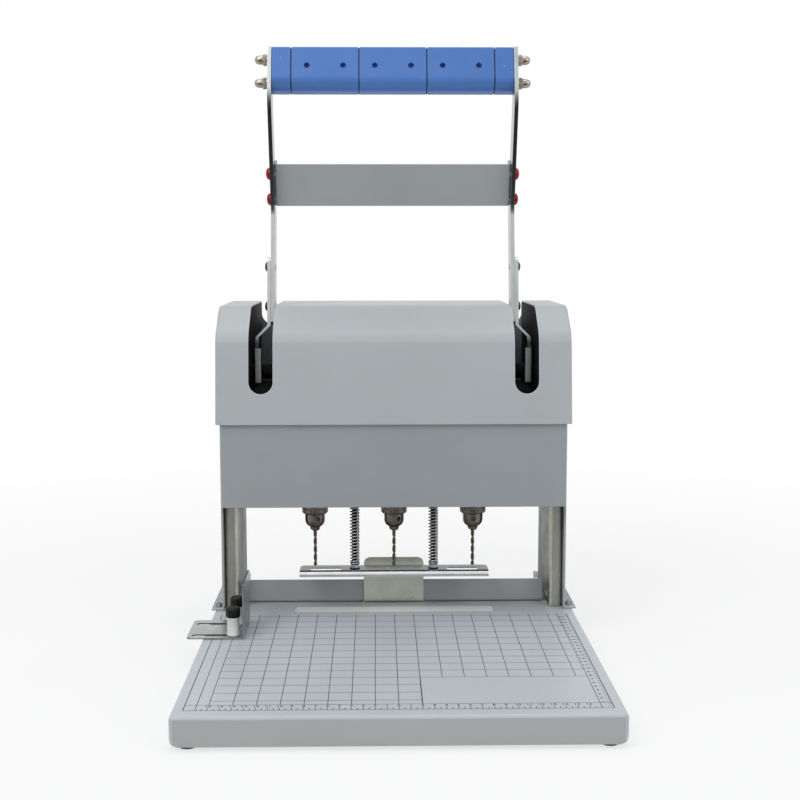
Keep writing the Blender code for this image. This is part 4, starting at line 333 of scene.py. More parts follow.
gripBlue = mouldedPlastic("gripBlue", tint(70, 115, 184), 0.34, "blue_grip_plastic", 1300.0, 0.00002)
# painted shade in the grooves between the grip's blocks
gripGrooveShade = mouldedPlastic("gripGrooveShade", tint(16, 28, 74), 0.45, "blue_grip_plastic")
gripPale = mouldedPlastic("gripPale", tint(112, 150, 208), 0.4, "blue_grip_plastic")
blackPlastic = mouldedPlastic("blackPlastic", tint(14, 14, 15), 0.42, "black_plastic", specular=0.25)
# black of the slot liners, and painted shade on the lever shaft inside the slot
linerBlackAndShade = mouldedPlastic("linerBlackAndShade", tint(9, 9, 10), 0.7, "black_liner", specular=0.25)
blackSteel = mouldedPlastic("blackSteel", tint(30, 31, 33), 0.36, "black_plastic", 1500.0)
whiteNylon = mouldedPlastic("whiteNylon", tint(226, 227, 224), 0.38, "white_nylon")
padPlastic = mouldedPlastic("padPlastic", tint(228, 230, 230), 0.45, "white_nylon", 700.0)
footRubber = mouldedPlastic("footRubber", tint(24, 24, 25), 0.62, "black_rubber", 500.0, 0.00008)
inkBlue = mouldedPlastic("inkBlue", tint(30, 42, 82), 0.55, "machine_paint", 2000.0, 0.00001)

shadeSettings = {
    "arm": (0.452, 0.566, 0.006, 0.8),  # lower and upper height, softness in metres, strength
    "strap": (0.2, 0.315, 0.004, 0.86),
    "colour": tint(18, 18, 19),
}


def shadedLevels(finish, low, high, soft, amount):
    # painted shade between two heights: on the arms' front edges, which lean forward and look down on the
    # dark bench, a painted dark reflection; on the straps, painted shade inside the cover
    level = finish.axes(finish.place)[2]
    above = finish.span(level, 0.0, amount, low - soft, low + soft)
    below = finish.span(level, 1.0, 0.0, high - soft, high + soft)
    source = Wire(finish, finish.shader.inputs["Base Color"].links[0].from_socket)
    finish.feed("Base Color", finish.blend(above * below, source, shadeSettings["colour"]))


# painted dark reflection on the arms' front edges
shadedLevels(armEdgeShade, *shadeSettings["arm"])
# painted shade on the straps' lower legs, inside the cover
shadedLevels(strapSteel, *shadeSettings["strap"])

print("shapes")


def stamp(bm, template, place):
    # a copy of a small shape, set down in a larger mesh
    before = len(bm.verts)
    bm.from_mesh(template)
    bm.verts.ensure_lookup_table()
    bmesh.ops.transform(bm, matrix=place, verts=bm.verts[before:])


def asTemplate(bm, name="template"):
    mesh = bpy.data.meshes.new(name)
    bm.to_mesh(mesh)
    bm.free()
    return mesh


def linked(name, data):
    thing = bpy.data.objects.new(name, data)
    bpy.context.scene.collection.objects.link(thing)
    return thing


def facing(place, direction):
    turn = Vector(direction).to_track_quat("Z", "Y").to_matrix().to_4x4()
    return Matrix.Translation(place) @ turn


def turned(profile, steps=40, closed=False):
    # spins (radius, height) points in millimetres about Z
    bm = bmesh.new()
    verts = [bm.verts.new((radius * mm, 0.0, height * mm)) for radius, height in profile]
    links = list(zip(verts, verts[1:])) + ([(verts[-1], verts[0])] if closed else [])
    edges = [bm.edges.new(link) for link in links]
    still = {"cent": (0, 0, 0), "axis": (0, 0, 1), "dvec": (0, 0, 0)}
    bmesh.ops.spin(bm, geom=verts + edges, angle=2 * pi, steps=steps, use_merge=True, **still)
    bmesh.ops.remove_doubles(bm, verts=bm.verts, dist=0.001 * mm)
    bmesh.ops.recalc_face_normals(bm, faces=bm.faces)
    return bm


def prism(sides, radius, low, high):
    # a hexagon bar, or a round one with many sides
    bm = bmesh.new()
    middle = Matrix.Translation((0, 0, (low + high) / 2 * mm))
    wide = {"radius1": radius * mm, "radius2": radius * mm, "depth": (high - low) * mm}
    bmesh.ops.create_cone(bm, cap_ends=True, segments=sides, matrix=middle, **wide)
    return bm


def easeEdges(bm, edges, size, segments=2):
    bmesh.ops.bevel(
        bm,
        geom=edges,
        offset=size * mm,
        offset_type="OFFSET",
        segments=segments,
        profile=0.5,
        affect="EDGES",
        clamp_overlap=True,
        material=-1,
    )


def block(low, high, ease=0.0):
    bm = bmesh.new()
    middle = (Vector(low) + Vector(high)) / 2 * mm
    size = (Vector(high) - Vector(low)) * mm
    bmesh.ops.create_cube(bm, size=1.0, matrix=Matrix.Translation(middle) @ Matrix.Diagonal((*size, 1.0)))
    if ease:
        easeEdges(bm, bm.edges[:], ease)
    return bm


def sharpEdges(bm, angle=50):
    return [edge for edge in bm.edges if edge.is_manifold and edge.calc_face_angle(0) > radians(angle)]


def edgesWhere(bm, test):
    # edges whose two ends both pass, given in millimetres
    return [edge for edge in bm.edges if all(test(vert.co / mm) for vert in edge.verts)]


def uprightEdges(bm, least=4):
    # edges that rise by more than so many millimetres
    return [edge for edge in bm.edges if abs(edge.verts[0].co.z - edge.verts[1].co.z) > least * mm]


def openEdges(bm):
    return [edge for edge in bm.edges if edge.is_boundary]


def joinFlats(bm, angle=0.5):
    # merges faces that lie in one plane, within an angle in degrees
    bmesh.ops.dissolve_limit(bm, angle_limit=radians(angle), verts=bm.verts, edges=bm.edges)


def shift(bm, place):
    bmesh.ops.translate(bm, verts=bm.verts, vec=place)


def setDown(bm, part, place):
    # a part made once, used up as it is stamped
    stamp(bm, asTemplate(part), place)


def carve(bm, tool, operation="DIFFERENCE"):
    # one exact boolean, whose result comes back as a new bmesh
    holders = [linked("carving", asTemplate(part, "carving")) for part in (bm, tool)]
    step = holders[0].modifiers.new("carving", "BOOLEAN")
    step.operation = operation
    step.solver = "EXACT"
    step.object = holders[1]
    done = bmesh.new()
    done.from_object(holders[0], bpy.context.evaluated_depsgraph_get())
    for holder in holders:
        bpy.data.objects.remove(holder)
    return done


def helix(radius, wire, low, high, turns, endTurns=1.25, sides=8, steps=18):
    # coil spring along Z with closed, touching end coils
    bm = bmesh.new()
    start = Matrix.Translation((radius * mm, 0, low * mm)) @ Matrix.Rotation(pi / 2, 4, "X")
    bmesh.ops.create_circle(bm, cap_ends=False, radius=wire * mm, segments=sides, matrix=start)
    edges = bm.edges[:]
    shut = wire * 2.1
    rise = (high - low - 2 * endTurns * shut) / (turns - 2 * endTurns)
    for count, climb in ((endTurns, shut), (turns - 2 * endTurns, rise), (endTurns, shut)):
        edges = spunUp(bm, edges, climb * count, count, round(count * steps))
    return closeEnds(bm, sides)


def closeEnds(bm, sides=0):
    # fills the open ends and turns every face outward
    bmesh.ops.holes_fill(bm, edges=openEdges(bm), sides=sides)
    bmesh.ops.recalc_face_normals(bm, faces=bm.faces)
    return bm


def spunUp(bm, edges, rise, turns, steps):
    # spins edges about Z while they climb, and gives back the last ones
    step = (0, 0, rise / steps * mm)
    about = {"cent": (0, 0, 0), "axis": (0, 0, 1), "angle": 2 * pi * turns}
    spun = bmesh.ops.spin(bm, geom=edges, dvec=step, steps=steps, use_merge=False, **about)
    return [item for item in spun["geom_last"] if isinstance(item, bmesh.types.BMEdge)]


def screwHead(profile, radius, height, steps):
    return turned([(radius * out, height * up) for out, up in profile], steps)


def crossHead(radius, height):
    # pan head with a cross recess
    pan = ((0, 1), (0.45, 0.98), (0.75, 0.84), (0.93, 0.55), (1, 0.2), (1, 0), (0, 0))
    head = screwHead(pan, radius, height, 28)
    for turn in (0.0, pi / 2):
        wide, thin = radius * 0.56, radius * 0.11
        bar = block((-wide, -thin, height * 0.45), (wide, thin, height + 1.0))
        bar.transform(Matrix.Rotation(turn, 4, "Z"))
        head = carve(head, bar)
    return asTemplate(head, "crossHead")


def socketHead(radius, height, key):
    # domed head with a hexagon socket
    dome = ((0, 1), (0.4, 0.96), (0.72, 0.78), (0.92, 0.45), (1, 0.12), (0.97, 0), (0, 0))
    head = screwHead(dome, radius, height, 36)
    return asTemplate(carve(head, prism(6, key, height * 0.42, height + 1.0)), "socketHead")


def hexNut(across, low, high, bore=0.0):
    # six-sided bar end inside a turned crown, which rounds off its corners
    flat, full = across * 0.49, across * 0.6
    profile = [(0, low), (flat, low), (full, low + 1.0), (full, high - 1.0), (flat, high), (0, high)]
    nut = carve(prism(6, across / 3**0.5, low, high), turned(profile, 36), "INTERSECT")
    if bore:
        nut = carve(nut, prism(24, bore, low - 1, high + 1))
    return nut


print("carried pieces")


def makePiece(name, bm, finish, body, stands=(), bend=50, weighted=False):
    # closes a bmesh into an object that rides on its body and stands for its CAD nodes
    for face in bm.faces:
        face.smooth = True
    for edge in bm.edges:
        edge.smooth = edge.is_manifold and edge.calc_face_angle(0) < radians(bend)
    mesh = asTemplate(bm, name)
    mesh.materials.append(finish.material)
    piece = linked(name, mesh)
    if weighted:
        even = piece.modifiers.new("even shading", "WEIGHTED_NORMAL")
        even.keep_sharp = True
        even.weight = 90
    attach(piece, body)
    if stands:
        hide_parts(*stands)
    return piece


def nodeShape(node):
    # the node's own shape, with the seams of its file closed
    bm = bmesh.new()
    bm.from_mesh(frame["nodes"][node].data)
    bmesh.ops.remove_doubles(bm, verts=bm.verts, dist=0.002 * mm)
    return bm


def retone(piece, test, *finishes):
    # some faces take a second or third finish, by the number that the test gives
    for finish in finishes:
        piece.data.materials.append(finish.material)
    for face in piece.data.polygons:
        face.material_index = int(test(face))


def machineBlock(low, high):
    shape = block(low, high)
    shift(shape, machineOrigin)
    return shape


def dress(node, finish, edge, trims=()):
    # the node's own shape with its edges eased and its bends shaded round
    bm = nodeShape(node)
    for low, high in trims:
        bm = carve(bm, machineBlock(low, high))
    joinFlats(bm, 1.0)
    easeEdges(bm, sharpEdges(bm), edge)
    rimFinish, rimWidth = rims.get(node, (None, 0))
    if rimFinish:
        # the cut edges of a sheet, which are narrow faces across it, take another finish: painted shade along
        # the side guide's edges and slots, a painted highlight along the side plates' edges
        for face in bm.faces:
            longest = max(edge.calc_length() for edge in face.edges)
            narrow = face.calc_area() / longest < rimWidth * mm
            face.material_index = int(len(face.edges) < 7 and narrow)
    body = body_of(frame["nodes"][node])[0]
    piece = makePiece(node + "_dressed", bm, finish, body, [node], weighted=True)
    if rimFinish:
        piece.data.materials.append(rimFinish.material)


# second finishes for narrow edge faces: painted shade on the side guide, a painted highlight on the side
# plates
rims = {
    "side_guide": (guideRimShade, 1.7),
    "left_side_plate": (edgeHighlightPaint, 0.6),
    "right_side_plate": (edgeHighlightPaint, 0.6),
}

dressed = (
    (fenceSteel, 0.15, "rear_fence"),
    (stopSteel, 0.2, "depth_stop"),
    (padPlastic, 0.3, "drill_pad"),
    (columnZinc, 0.9, "left_column", "right_column"),
    # the side plates and front panel take painted shade
    (panelShadePaint, 0.25, "left_side_plate", "right_side_plate", "front_panel"),
    (coverPaint, 0.25, "back_panel"),
    (linerBlackAndShade, 0.2, "left_slot_liner", "right_slot_liner"),
    (bearingBronze, 0.3, "left_bearing", "right_bearing"),
    (plateZinc, 0.4, "lower_cross_bar", "upper_cross_bar"),
    (armSteel, 0.5, "left_arm", "right_arm"),
    (strapSteel, 0.3, "left_strap", "right_strap"),
    (satinGrey, 0.3, "cross_plate"),
    # the lever shaft is painted black for the shade inside the slot
    (linerBlackAndShade, 0.3, "lever_shaft"),
    (plateZinc, 0.3, "carriage_frame"),
    (motorMetal, 0.4, "motor_left", "motor_centre", "motor_right"),
    (guideSteel, 0.2, "side_guide"),
    (blackPlastic, 0.4, "switch_bezel", "switch_rocker"),
    (blackPlastic, 0.3, "cable_gland"),
    (footRubber, 0.6, "foot_front_left", "foot_front_right", "foot_rear_left", "foot_rear_right"),
)

# fused bolt heads that detailed ones stand for
trimmed = {
    "left_strap": [((-150, 330, 336), (-133.92, 420, 410))],
    "right_strap": [((133.92, 330, 336), (150, 420, 410))],
    "cross_plate": [((-150, 360, 440), (-125.55, 420, 520)), ((125.55, 360, 440), (150, 420, 520))],
}

for finish, edge, *nodes in dressed:
    for node in nodes:
        dress(node, finish, edge, trimmed.get(node, ()))

print("lever parts")

leverSettings = {
    "armFaceX": 130.25,
    "redHead": (6.6, 4.2, 3.0),  # radius, height, socket
    "redSeat": 0.45,
    "redCollar": ((0, -0.1), (7.2, -0.1), (7.3, 0.15), (7.2, 0.5), (0, 0.5)),
    "redBolts": (463.0, 489.5),
    "strapBolts": (349.0, 391.0),
    "strapOuterX": 133.9,
    "domeHead": (5.4, 3.4, 2.3),
    "armLine": ((366.0, 280.0), (394.0, 451.0), (357.0, 566.0)),  # y, z of the arm's bends
    "rodEnd": 130.3,
    "rod": (3.0, 3.0),  # radius, length past the arm
    "acornAcross": 10.5,
    "acornHex": 4.2,
    "acornDome": ((0.46, 0.0), (0.46, 3.2), (0.43, 5.2), (0.34, 7.2), (0.2, 8.3), (0, 8.7)),
    "domeStart": 4.0,
    "washer": (3.1, 6.5, 1.0, 0.2),  # bore, radius, thickness, rounding
}


def makeTieRodNuts():
    # plain rod through the grip, with washers and nickel acorn nuts outside the arms
    across = leverSettings["acornAcross"]
    outer = leverSettings["rodEnd"]
    rodRadius, past = leverSettings["rod"]
    bore, radius, thick, soft = leverSettings["washer"]
    dome = turned([(across * out, height) for out, height in leverSettings["acornDome"]], 36)
    domeShape = asTemplate(closeEnds(dome))
    nutShape = asTemplate(hexNut(across, 0.0, leverSettings["acornHex"]))
    rim = [(radius - soft, 0), (radius, soft), (radius, thick - soft), (radius - soft, thick)]
    washerShape = asTemplate(turned([(bore, 0), *rim, (bore, thick)], 36, True))
    for name in ("upper", "lower"):
        node = f"{name}_tie_rod"
        low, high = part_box(node)
        middle = (low + high) / 2
        bm = bmesh.new()
        setDown(bm, prism(32, rodRadius, -outer - past, outer + past), facing(middle, (1, 0, 0)))
        for side in sides:
            out = Vector((side, 0, 0))
            domeStart = thick + leverSettings["domeStart"]
            for shape, start in ((washerShape, 0.0), (nutShape, thick), (domeShape, domeStart)):
                stamp(bm, shape, facing(middle + out * (outer + start) * mm, out))
        makePiece(f"{name}_acorn_nuts", bm, nickelNut, "lever", [node])


def makeLeverBolts():
    redHead = socketHead(*leverSettings["redHead"])
    domeHead = socketHead(*leverSettings["domeHead"])
    collar = asTemplate(turned(leverSettings["redCollar"], 36))
    (rootY, rootZ), (bendY, bendZ), (topY, topZ) = leverSettings["armLine"]
    red = bmesh.new()
    black = bmesh.new()
    for side in sides:
        out = Vector((side, 0, 0))
        for z in leverSettings["redBolts"]:
            y = bendY + (z - bendZ) * (topY - bendY) / (topZ - bendZ)
            place = at(side * leverSettings["armFaceX"], y, z)
            stamp(red, collar, facing(place, out))
            stamp(red, redHead, facing(place + out * leverSettings["redSeat"] * mm, out))
        for z in leverSettings["strapBolts"]:
            y = rootY + (z - rootZ) * (bendY - rootY) / (bendZ - rootZ)
            stamp(black, domeHead, facing(at(side * leverSettings["strapOuterX"], y, z), out))
    makePiece("red_plated_bolts", red, redZinc, "lever")
    makePiece("black_strap_bolts", black, blackSteel, "lever")


makeTieRodNuts()
makeLeverBolts()

print("spindle parts")

spindleSettings = {
    "pitch": 83.0,
    "y": 325.0,
    "nose": ((0, 119.0), (3.2, 119.0), (3.2, 116.6), (4.4, 116.6), (5.0, 117.2), (5.4, 119.6), (6.6, 120.4)),
    "sleeve": ((8.8, 122.2), (10.1, 124.6), (10.5, 126.8), (10.5, 133.6), (10.0, 133.9), (10.0, 151.0)),
    "back": ((9.6, 161.0), (8.6, 162.0), (2.8, 162.0), (2.8, 168.0), (0, 168.0)),
    "ringLow": ((9.4, 134.2), (12.3, 134.2), (13.6, 135.7), (13.6, 139.6)),
    "ringHigh": ((13.1, 140.2), (13.1, 149.2), (12.4, 150.0), (9.4, 150.0)),
    "teeth": (26, 0.9, 12.1, 139.7),  # number, depth, and where their roots start: radius, height
    "keyHole": (2.5, 129.0, 6.0, 8.0),  # radius, height, distance from the axis, length
    "keyTurns": {"left": -70.0, "centre": -62.0, "right": -88.0},
    "slot": ((2.2, -0.35, 113.0), (6.6, 0.35, 119.5)),
    "jaw": ((1.6, -1.1, 115.4), (3.9, 1.1, 122.0), 0.25),
    "drillRadius": 1.85,
    "drillTip": 77.3,
    "point": 1.0,
    "pointWidth": 0.1,
    "shank": (0.98, 0.6, 6.0),  # share of the radius, run-out, length
    "lead": 17.0,
    "fluteTop": 113.0,
    "land": (0.24, 1.1, 1.7),
}


def makeChuck(side, place):
    teeth, tooth, toothRoot, toothTop = spindleSettings["teeth"]
    body = turned(spindleSettings["nose"] + spindleSettings["sleeve"] + spindleSettings["back"], 72)
    holeRadius, holeHeight, apart, deep = spindleSettings["keyHole"]
    thirds = [radians(third * 120) for third in range(3)]
    for turn in thirds:
        angle = radians(spindleSettings["keyTurns"][side]) + turn
        hole = prism(24, holeRadius, 0, deep)
        foot = Vector((cos(angle) * apart, sin(angle) * apart, holeHeight)) * mm
        hole.transform(facing(foot, (cos(angle), sin(angle), 0)))
        body = carve(body, hole)
    for turn in thirds:
        slot = block(*spindleSettings["slot"])
        slot.transform(Matrix.Rotation(turn + pi / 3, 4, "Z"))
        body = carve(body, slot)
    ring = turned(spindleSettings["ringLow"] + spindleSettings["ringHigh"], teeth * 4, True)
    for vert in ring.verts:
        reach = (vert.co.x**2 + vert.co.y**2) ** 0.5 / mm
        quarter = round(vert.co.to_2d().angle_signed(Vector((1, 0))) / (2 * pi) * teeth * 4) % 4
        if vert.co.z / mm < toothTop and reach > toothRoot and quarter in (0, 1):
            vert.co.xy *= (reach - tooth) / reach
    bm = bmesh.new()
    setDown(bm, body, Matrix.Identity(4))
    setDown(bm, ring, Matrix.Identity(4))
    for turn in thirds:
        setDown(bm, block(*spindleSettings["jaw"]), Matrix.Rotation(turn, 4, "Z"))
    shift(bm, place)
    makePiece(f"key_chuck_{side}", bm, chuckSteel, f"spindle_{side}", [f"chuck_{side}"], 35)


def makeDrill(side, place):
    # a two-lobed section spun up the bit while it turns, ground to a point, with a round shank
    radius, tip, top = (spindleSettings[key] for key in ("drillRadius", "drillTip", "fluteTop"))
    point = spindleSettings["point"]
    least, swell, power = spindleSettings["land"]
    bm = bmesh.new()
    ring = bmesh.ops.create_circle(bm, cap_ends=False, radius=radius * mm, segments=24)["verts"]
    for vert in ring:
        angle = vert.co.to_2d().angle_signed(Vector((1, 0)))
        vert.co.xy *= min(1.0, least + swell * abs(cos(angle)) ** power)
    bmesh.ops.translate(bm, verts=ring, vec=(0, 0, (tip + point) * mm))
    start = bm.edges[:]
    fluted = top - tip - point
    last = spunUp(bm, start, fluted, fluted / spindleSettings["lead"], 72)
    slim, *heights = spindleSettings["shank"]
    for height in heights:
        fresh, last = drawnOut(bm, last, height)
        for vert in fresh:
            flat = vert.co.to_2d()
            flat.length = radius * slim * mm
            vert.co.xy = flat
    for vert in drawnOut(bm, start, -point)[0]:
        vert.co.xy *= spindleSettings["pointWidth"]
    shift(closeEnds(bm), place)
    makePiece(f"twist_drill_{side}", bm, drillSteel, f"spindle_{side}", [f"drill_bit_{side}"], 45)


def drawnOut(bm, edges, height):
    # pulls an open end along Z, and gives back its new vertices and edges
    grown = bmesh.ops.extrude_edge_only(bm, edges=edges)["geom"]
    verts = [item for item in grown if isinstance(item, bmesh.types.BMVert)]
    bmesh.ops.translate(bm, verts=verts, vec=(0, 0, height * mm))
    return verts, [item for item in grown if isinstance(item, bmesh.types.BMEdge)]


for side, step in (("left", -1), ("centre", 0), ("right", 1)):
    place = at(step * spindleSettings["pitch"], spindleSettings["y"], 0)
    makeChuck(side, place)
    makeDrill(side, place)

pressSettings = {
    "pressRod": (41.5, 327.0),
    "shank": ((0, 71.8), (2.6, 71.8), (2.9, 72.3), (2.9, 178.5), (2.5, 180.0), (0, 180.0)),
    "pressSpring": (4.6, 0.74, 78.9, 167.6, 28.0),  # coil radius, wire radius, low, high, turns
    "pressSeat": (167.7, 0.889),  # height, share of the length kept
    "nutAcross": 8.5,
    "nuts": ((74.7, 78.4), (174.5, 178.6)),
    "bore": 2.9,
    "washer": ((2.95, 74.0), (5.4, 74.0), (5.4, 74.7), (2.95, 74.7)),
    "threads": (73.0, 173.0),
    "thread": (2.75, 0.28, 7.0, 8),  # radius, depth, length, turns
    "returnRod": (95.0, 400.0),
    "returnSpring": (9.1, 0.9, 138.45, 202.6, 9.5),
    "returnSeat": (138.3, 0.27),
}


def makeSpring(name, side, place, body):
    # a coil spring, with a mesh of its own
    spring = helix(*pressSettings[f"{name}Spring"])
    shift(spring, place)
    piece = makePiece(f"{name}_coil_{side}", spring, springSteel, body, [f"{name}_spring_{side}"])
    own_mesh(piece)


def makePressRod(side, place):
    # rod, threaded at both ends, painted near black for the shade between its spring's coils, with a washer
    # and a nut on the bar and a nut on the carriage
    p = pressSettings
    (lowNut, highNut), bore = p["nuts"], p["bore"]
    here = Matrix.Translation(place)
    foot = bmesh.new()
    setDown(foot, hexNut(p["nutAcross"], *lowNut, bore), here)
    makePiece(f"press_rod_nut_{side}", foot, screwZinc, "press_bar_set", [f"press_rod_{side}"], 35)
    rod = bmesh.new()
    setDown(rod, turned(p["shank"], 28), here)
    setDown(rod, hexNut(p["nutAcross"], *highNut, bore), here)
    setDown(rod, turned(p["washer"], 32, True), here)
    radius, depth, length, turns = p["thread"]
    for start in p["threads"]:
        setDown(rod, helix(radius, depth, start, start + length, turns, 0.5, 6, 16), here)
    makePiece(f"press_rod_{side}_turned", rod, rodShadeSteel, "press_bar_set", [f"press_rod_{side}"], 35)


def makePressParts():
    x, y = pressSettings["pressRod"]
    backX, backY = pressSettings["returnRod"]
    for side, sign in hands:
        place = at(sign * x, y, 0)
        makeSpring("press", side, place, "carriage")
        makePressRod(side, place)
        makeSpring("return", side, at(sign * backX, backY, 0), "frame")


barSettings = {
    "half": 99.5,
    "front": 313.5,
    "back": 340.5,
    "top": 74.0,
    "low": 67.8,
    "sheet": 1.8,
    "bead": 4.6,
    "corner": 6.0,
    "slotY": (319.0, 331.0),
    "slots": ((-88.5, -55.5), (-7.5, 7.5), (55.5, 88.5)),
    "slotCorner": 3.0,
    "rodHole": 3.2,
}


def makePressBar():
    # folded strip with a full, rounded front lip, three slots for the drills and two rod holes
    half, front, back, top, low, sheet, bead = (
        barSettings[key] for key in ("half", "front", "back", "top", "low", "sheet", "bead")
    )
    bar = block((-half, front, low), (half, back, top))
    easeEdges(bar, edgesWhere(bar, lambda co: co.y < front + 1 and co.z > top - 1), bead, 10)
    rear = edgesWhere(bar, lambda co: co.y > back - 1)
    easeEdges(bar, [edge for edge in uprightEdges(bar) if edge in rear], barSettings["corner"], 8)
    under = block((-half - 2, front + sheet, low - 2), (half + 2, back + 2, top - sheet))
    ridge = edgesWhere(under, lambda co: co.y < front + sheet + 1 and co.z > top - sheet - 1)
    easeEdges(under, ridge, bead - sheet, 10)
    bar = carve(bar, under)
    slotFront, slotBack = barSettings["slotY"]
    for left, right in barSettings["slots"]:
        window = block((left, slotFront, low - 3), (right, slotBack, top + 3))
        easeEdges(window, uprightEdges(window), barSettings["slotCorner"], 6)
        bar = carve(bar, window)
    rodX, rodY = pressSettings["pressRod"]
    for side in sides:
        hole = prism(24, barSettings["rodHole"], low - 3, top + 3)
        hole.transform(Matrix.Translation(Vector((side * rodX, rodY, 0)) * mm))
        bar = carve(bar, hole)
    joinFlats(bar)
    easeEdges(bar, sharpEdges(bar), 0.2)
    shift(bar, machineOrigin)
    makePiece("press_bar_beaded", bar, pressSteel, "press_bar_set", ["press_bar"], 30, True)


makePressParts()
makePressBar()

print("base, guide and printed lines")

guideSettings = {
    "x": -160.0,
    "rows": {"front": 226.0, "rear": 266.0},
    "bore": 2.6,
    "sleeve": (6.4, 32.1, 50.2),
    "knob": (7.2, 50.5, 60.4),  # radius, low, high
    "lobes": (10, 0.42, 0.7),  # number, depth, sharpness
    "stud": (2.5, 28.0, 57.0),
}


def sleeveShape():
    bore = guideSettings["bore"]
    radius, low, high = guideSettings["sleeve"]
    slim, waist = radius - 0.3, radius - 0.25
    lower = [(bore, low), (slim, low), (radius, low + 0.3), (radius, low + 1.6), (waist, low + 2.0)]
    upper = [(waist, high - 2.2), (radius, high - 1.8), (radius, high - 0.3), (slim, high), (bore, high)]
    return turned(lower + upper, 48, True)


def studShape():
    radius, low, high = guideSettings["stud"]
    return turned([(0, low), (radius, low), (radius, high - 0.5), (radius - 0.5, high), (0, high)], 24)


def knobShape():
    # turned knob whose rim is drawn in between the lobes
    radius, low, high = guideSettings["knob"]
    lobes, depth, power = guideSettings["lobes"]
    edge = [(guideSettings["bore"], low), (radius - 0.9, low), (radius - 0.3, low + 0.5), (radius, low + 1.2)]
    crown = ((0.0, 2.2), (0.4, 1.0), (1.6, 0.2), (2.6, 0.0), (radius - 1.6, 0.4), (radius, 0.5))
    knob = turned(edge + [(radius - inward, high - drop) for inward, drop in crown], lobes * 12)
    for vert in knob.verts:
        flat = vert.co.to_2d()
        reach = flat.length / mm
        if reach > radius - 1.2:
            wave = flat.angle_signed(Vector((1, 0))) * lobes
            flat.length = (reach - depth * max(0.0, cos(wave)) ** power) * mm
            vert.co.xy = flat
    bmesh.ops.holes_fill(knob, edges=openEdges(knob), sides=0)
    return knob


def makeGuidePosts():
    for name, y in guideSettings["rows"].items():
        place = at(guideSettings["x"], y, 0)
        sleeve, stud, knob = sleeveShape(), studShape(), knobShape()
        for part in (sleeve, stud, knob):
            shift(part, place)
        makePiece(f"guide_sleeve_{name}", sleeve, whiteNylon, "frame", [f"guide_post_{name}"], 40)
        makePiece(f"guide_stud_{name}", stud, screwZinc, "frame")
        makePiece(f"lobed_knob_{name}", knob, blackPlastic, f"knob_{name}", [f"guide_knob_{name}"], 45)


screwSettings = {
    "flange": (185.7, (332.5, 399.75, 467.0), 32.3),  # x, rows, washer seat
    "washer": ((0, -0.05), (4.6, -0.05), (4.7, 0.2), (4.6, 0.55), (0, 0.55)),
    "fence": ((65.0, 130.0), 371.5, 32.35),
    "stop": (18.0, 379.0, 31.85),
    "cover": (183.45, (318.0, 464.0, 392.0), 245.0),
    "panel": ((-168.0, -60.0, 60.0, 168.0), 481.55, 152.0),
    "feet": (176.0, (14.0, 476.0), 3.2),
    "heads": {
        "flange": (4.4, 2.6),  # radius, height
        "fence": (3.4, 2.0),
        "stop": (3.4, 2.0),
        "cover": (3.2, 1.5),
        "panel": (3.0, 1.6),
        "foot": (4.0, 2.0),
    },
    "turn": (0.7, 1.31),  # first head's turn, and each next one's on top
}


def screwRow(name, places, finish=screwZinc):
    head = crossHead(*screwSettings["heads"][name])
    first, further = screwSettings["turn"]
    bm = bmesh.new()
    for index, (place, direction) in enumerate(places):
        turn = Matrix.Rotation(first + index * further, 4, "Z")
        stamp(bm, head, facing(place, direction) @ turn)
    makePiece(f"{name}_screws", bm, finish, "frame", (), 40)


def makeScrews():
    up = (0, 0, 1)
    flangeX, rows, seat = screwSettings["flange"]
    washer = asTemplate(turned(screwSettings["washer"], 32))
    thick = screwSettings["washer"][-1][1]
    places = [(side * flangeX, y) for side in sides for y in rows]
    rings = bmesh.new()
    for x, y in places:
        stamp(rings, washer, Matrix.Translation(at(x, y, seat)))
    # the flange screw heads take painted shade
    screwRow("flange", [(at(x, y, seat + thick), up) for x, y in places], flangeHeadShade)
    makePiece("flange_washers", rings, screwZinc, "frame")
    columns, y, z = screwSettings["fence"]
    screwRow("fence", [(at(side * x, y, z), up) for side in sides for x in columns])
    x, y, z = screwSettings["stop"]
    screwRow("stop", [(at(side * x, y, z), up) for side in sides])
    x, rows, z = screwSettings["cover"]
    screwRow("cover", [(at(side * x, y, z), (side, 0, 0)) for side in sides for y in rows])
    columns, y, z = screwSettings["panel"]
    screwRow("panel", [(at(x, y, z), (0, 1, 0)) for x in columns])
    x, rows, z = screwSettings["feet"]
    screwRow("foot", [(at(side * x, y, z), (0, 0, -1)) for side in sides for y in rows])


printSettings = {
    "top": 30.0,
    "sunk": 0.01,
    "thick": 0.05,
    "line": 0.62,
    "heavy": 0.8,
    "pitch": 20.0,
    "border": 15.0,
    "ruler": 28.0,
    "rowStart": 38.0,
    "rows": 14,
    "lastRow": 304.0,
    "gridHalf": 160.0,
    "inner": 170.0,
    "outer": 180.0,
    "plainBox": (20.0, 170.0, 28.0, 98.0),  # left, right, front, back of the field without lines
    "tick": 5,
    "frontTicks": (6.5, 4.5),
    "sideTicks": (4.4, 3.0),
    "digit": 5.0,
    "digitPitch": 3.0,
    "digitLevel": 30.03,
    "digitWeight": 0.14,
    "digitThick": 0.02,
    "frontNumbers": 24.6,
    "sideNumbers": (173.2, 27),
}


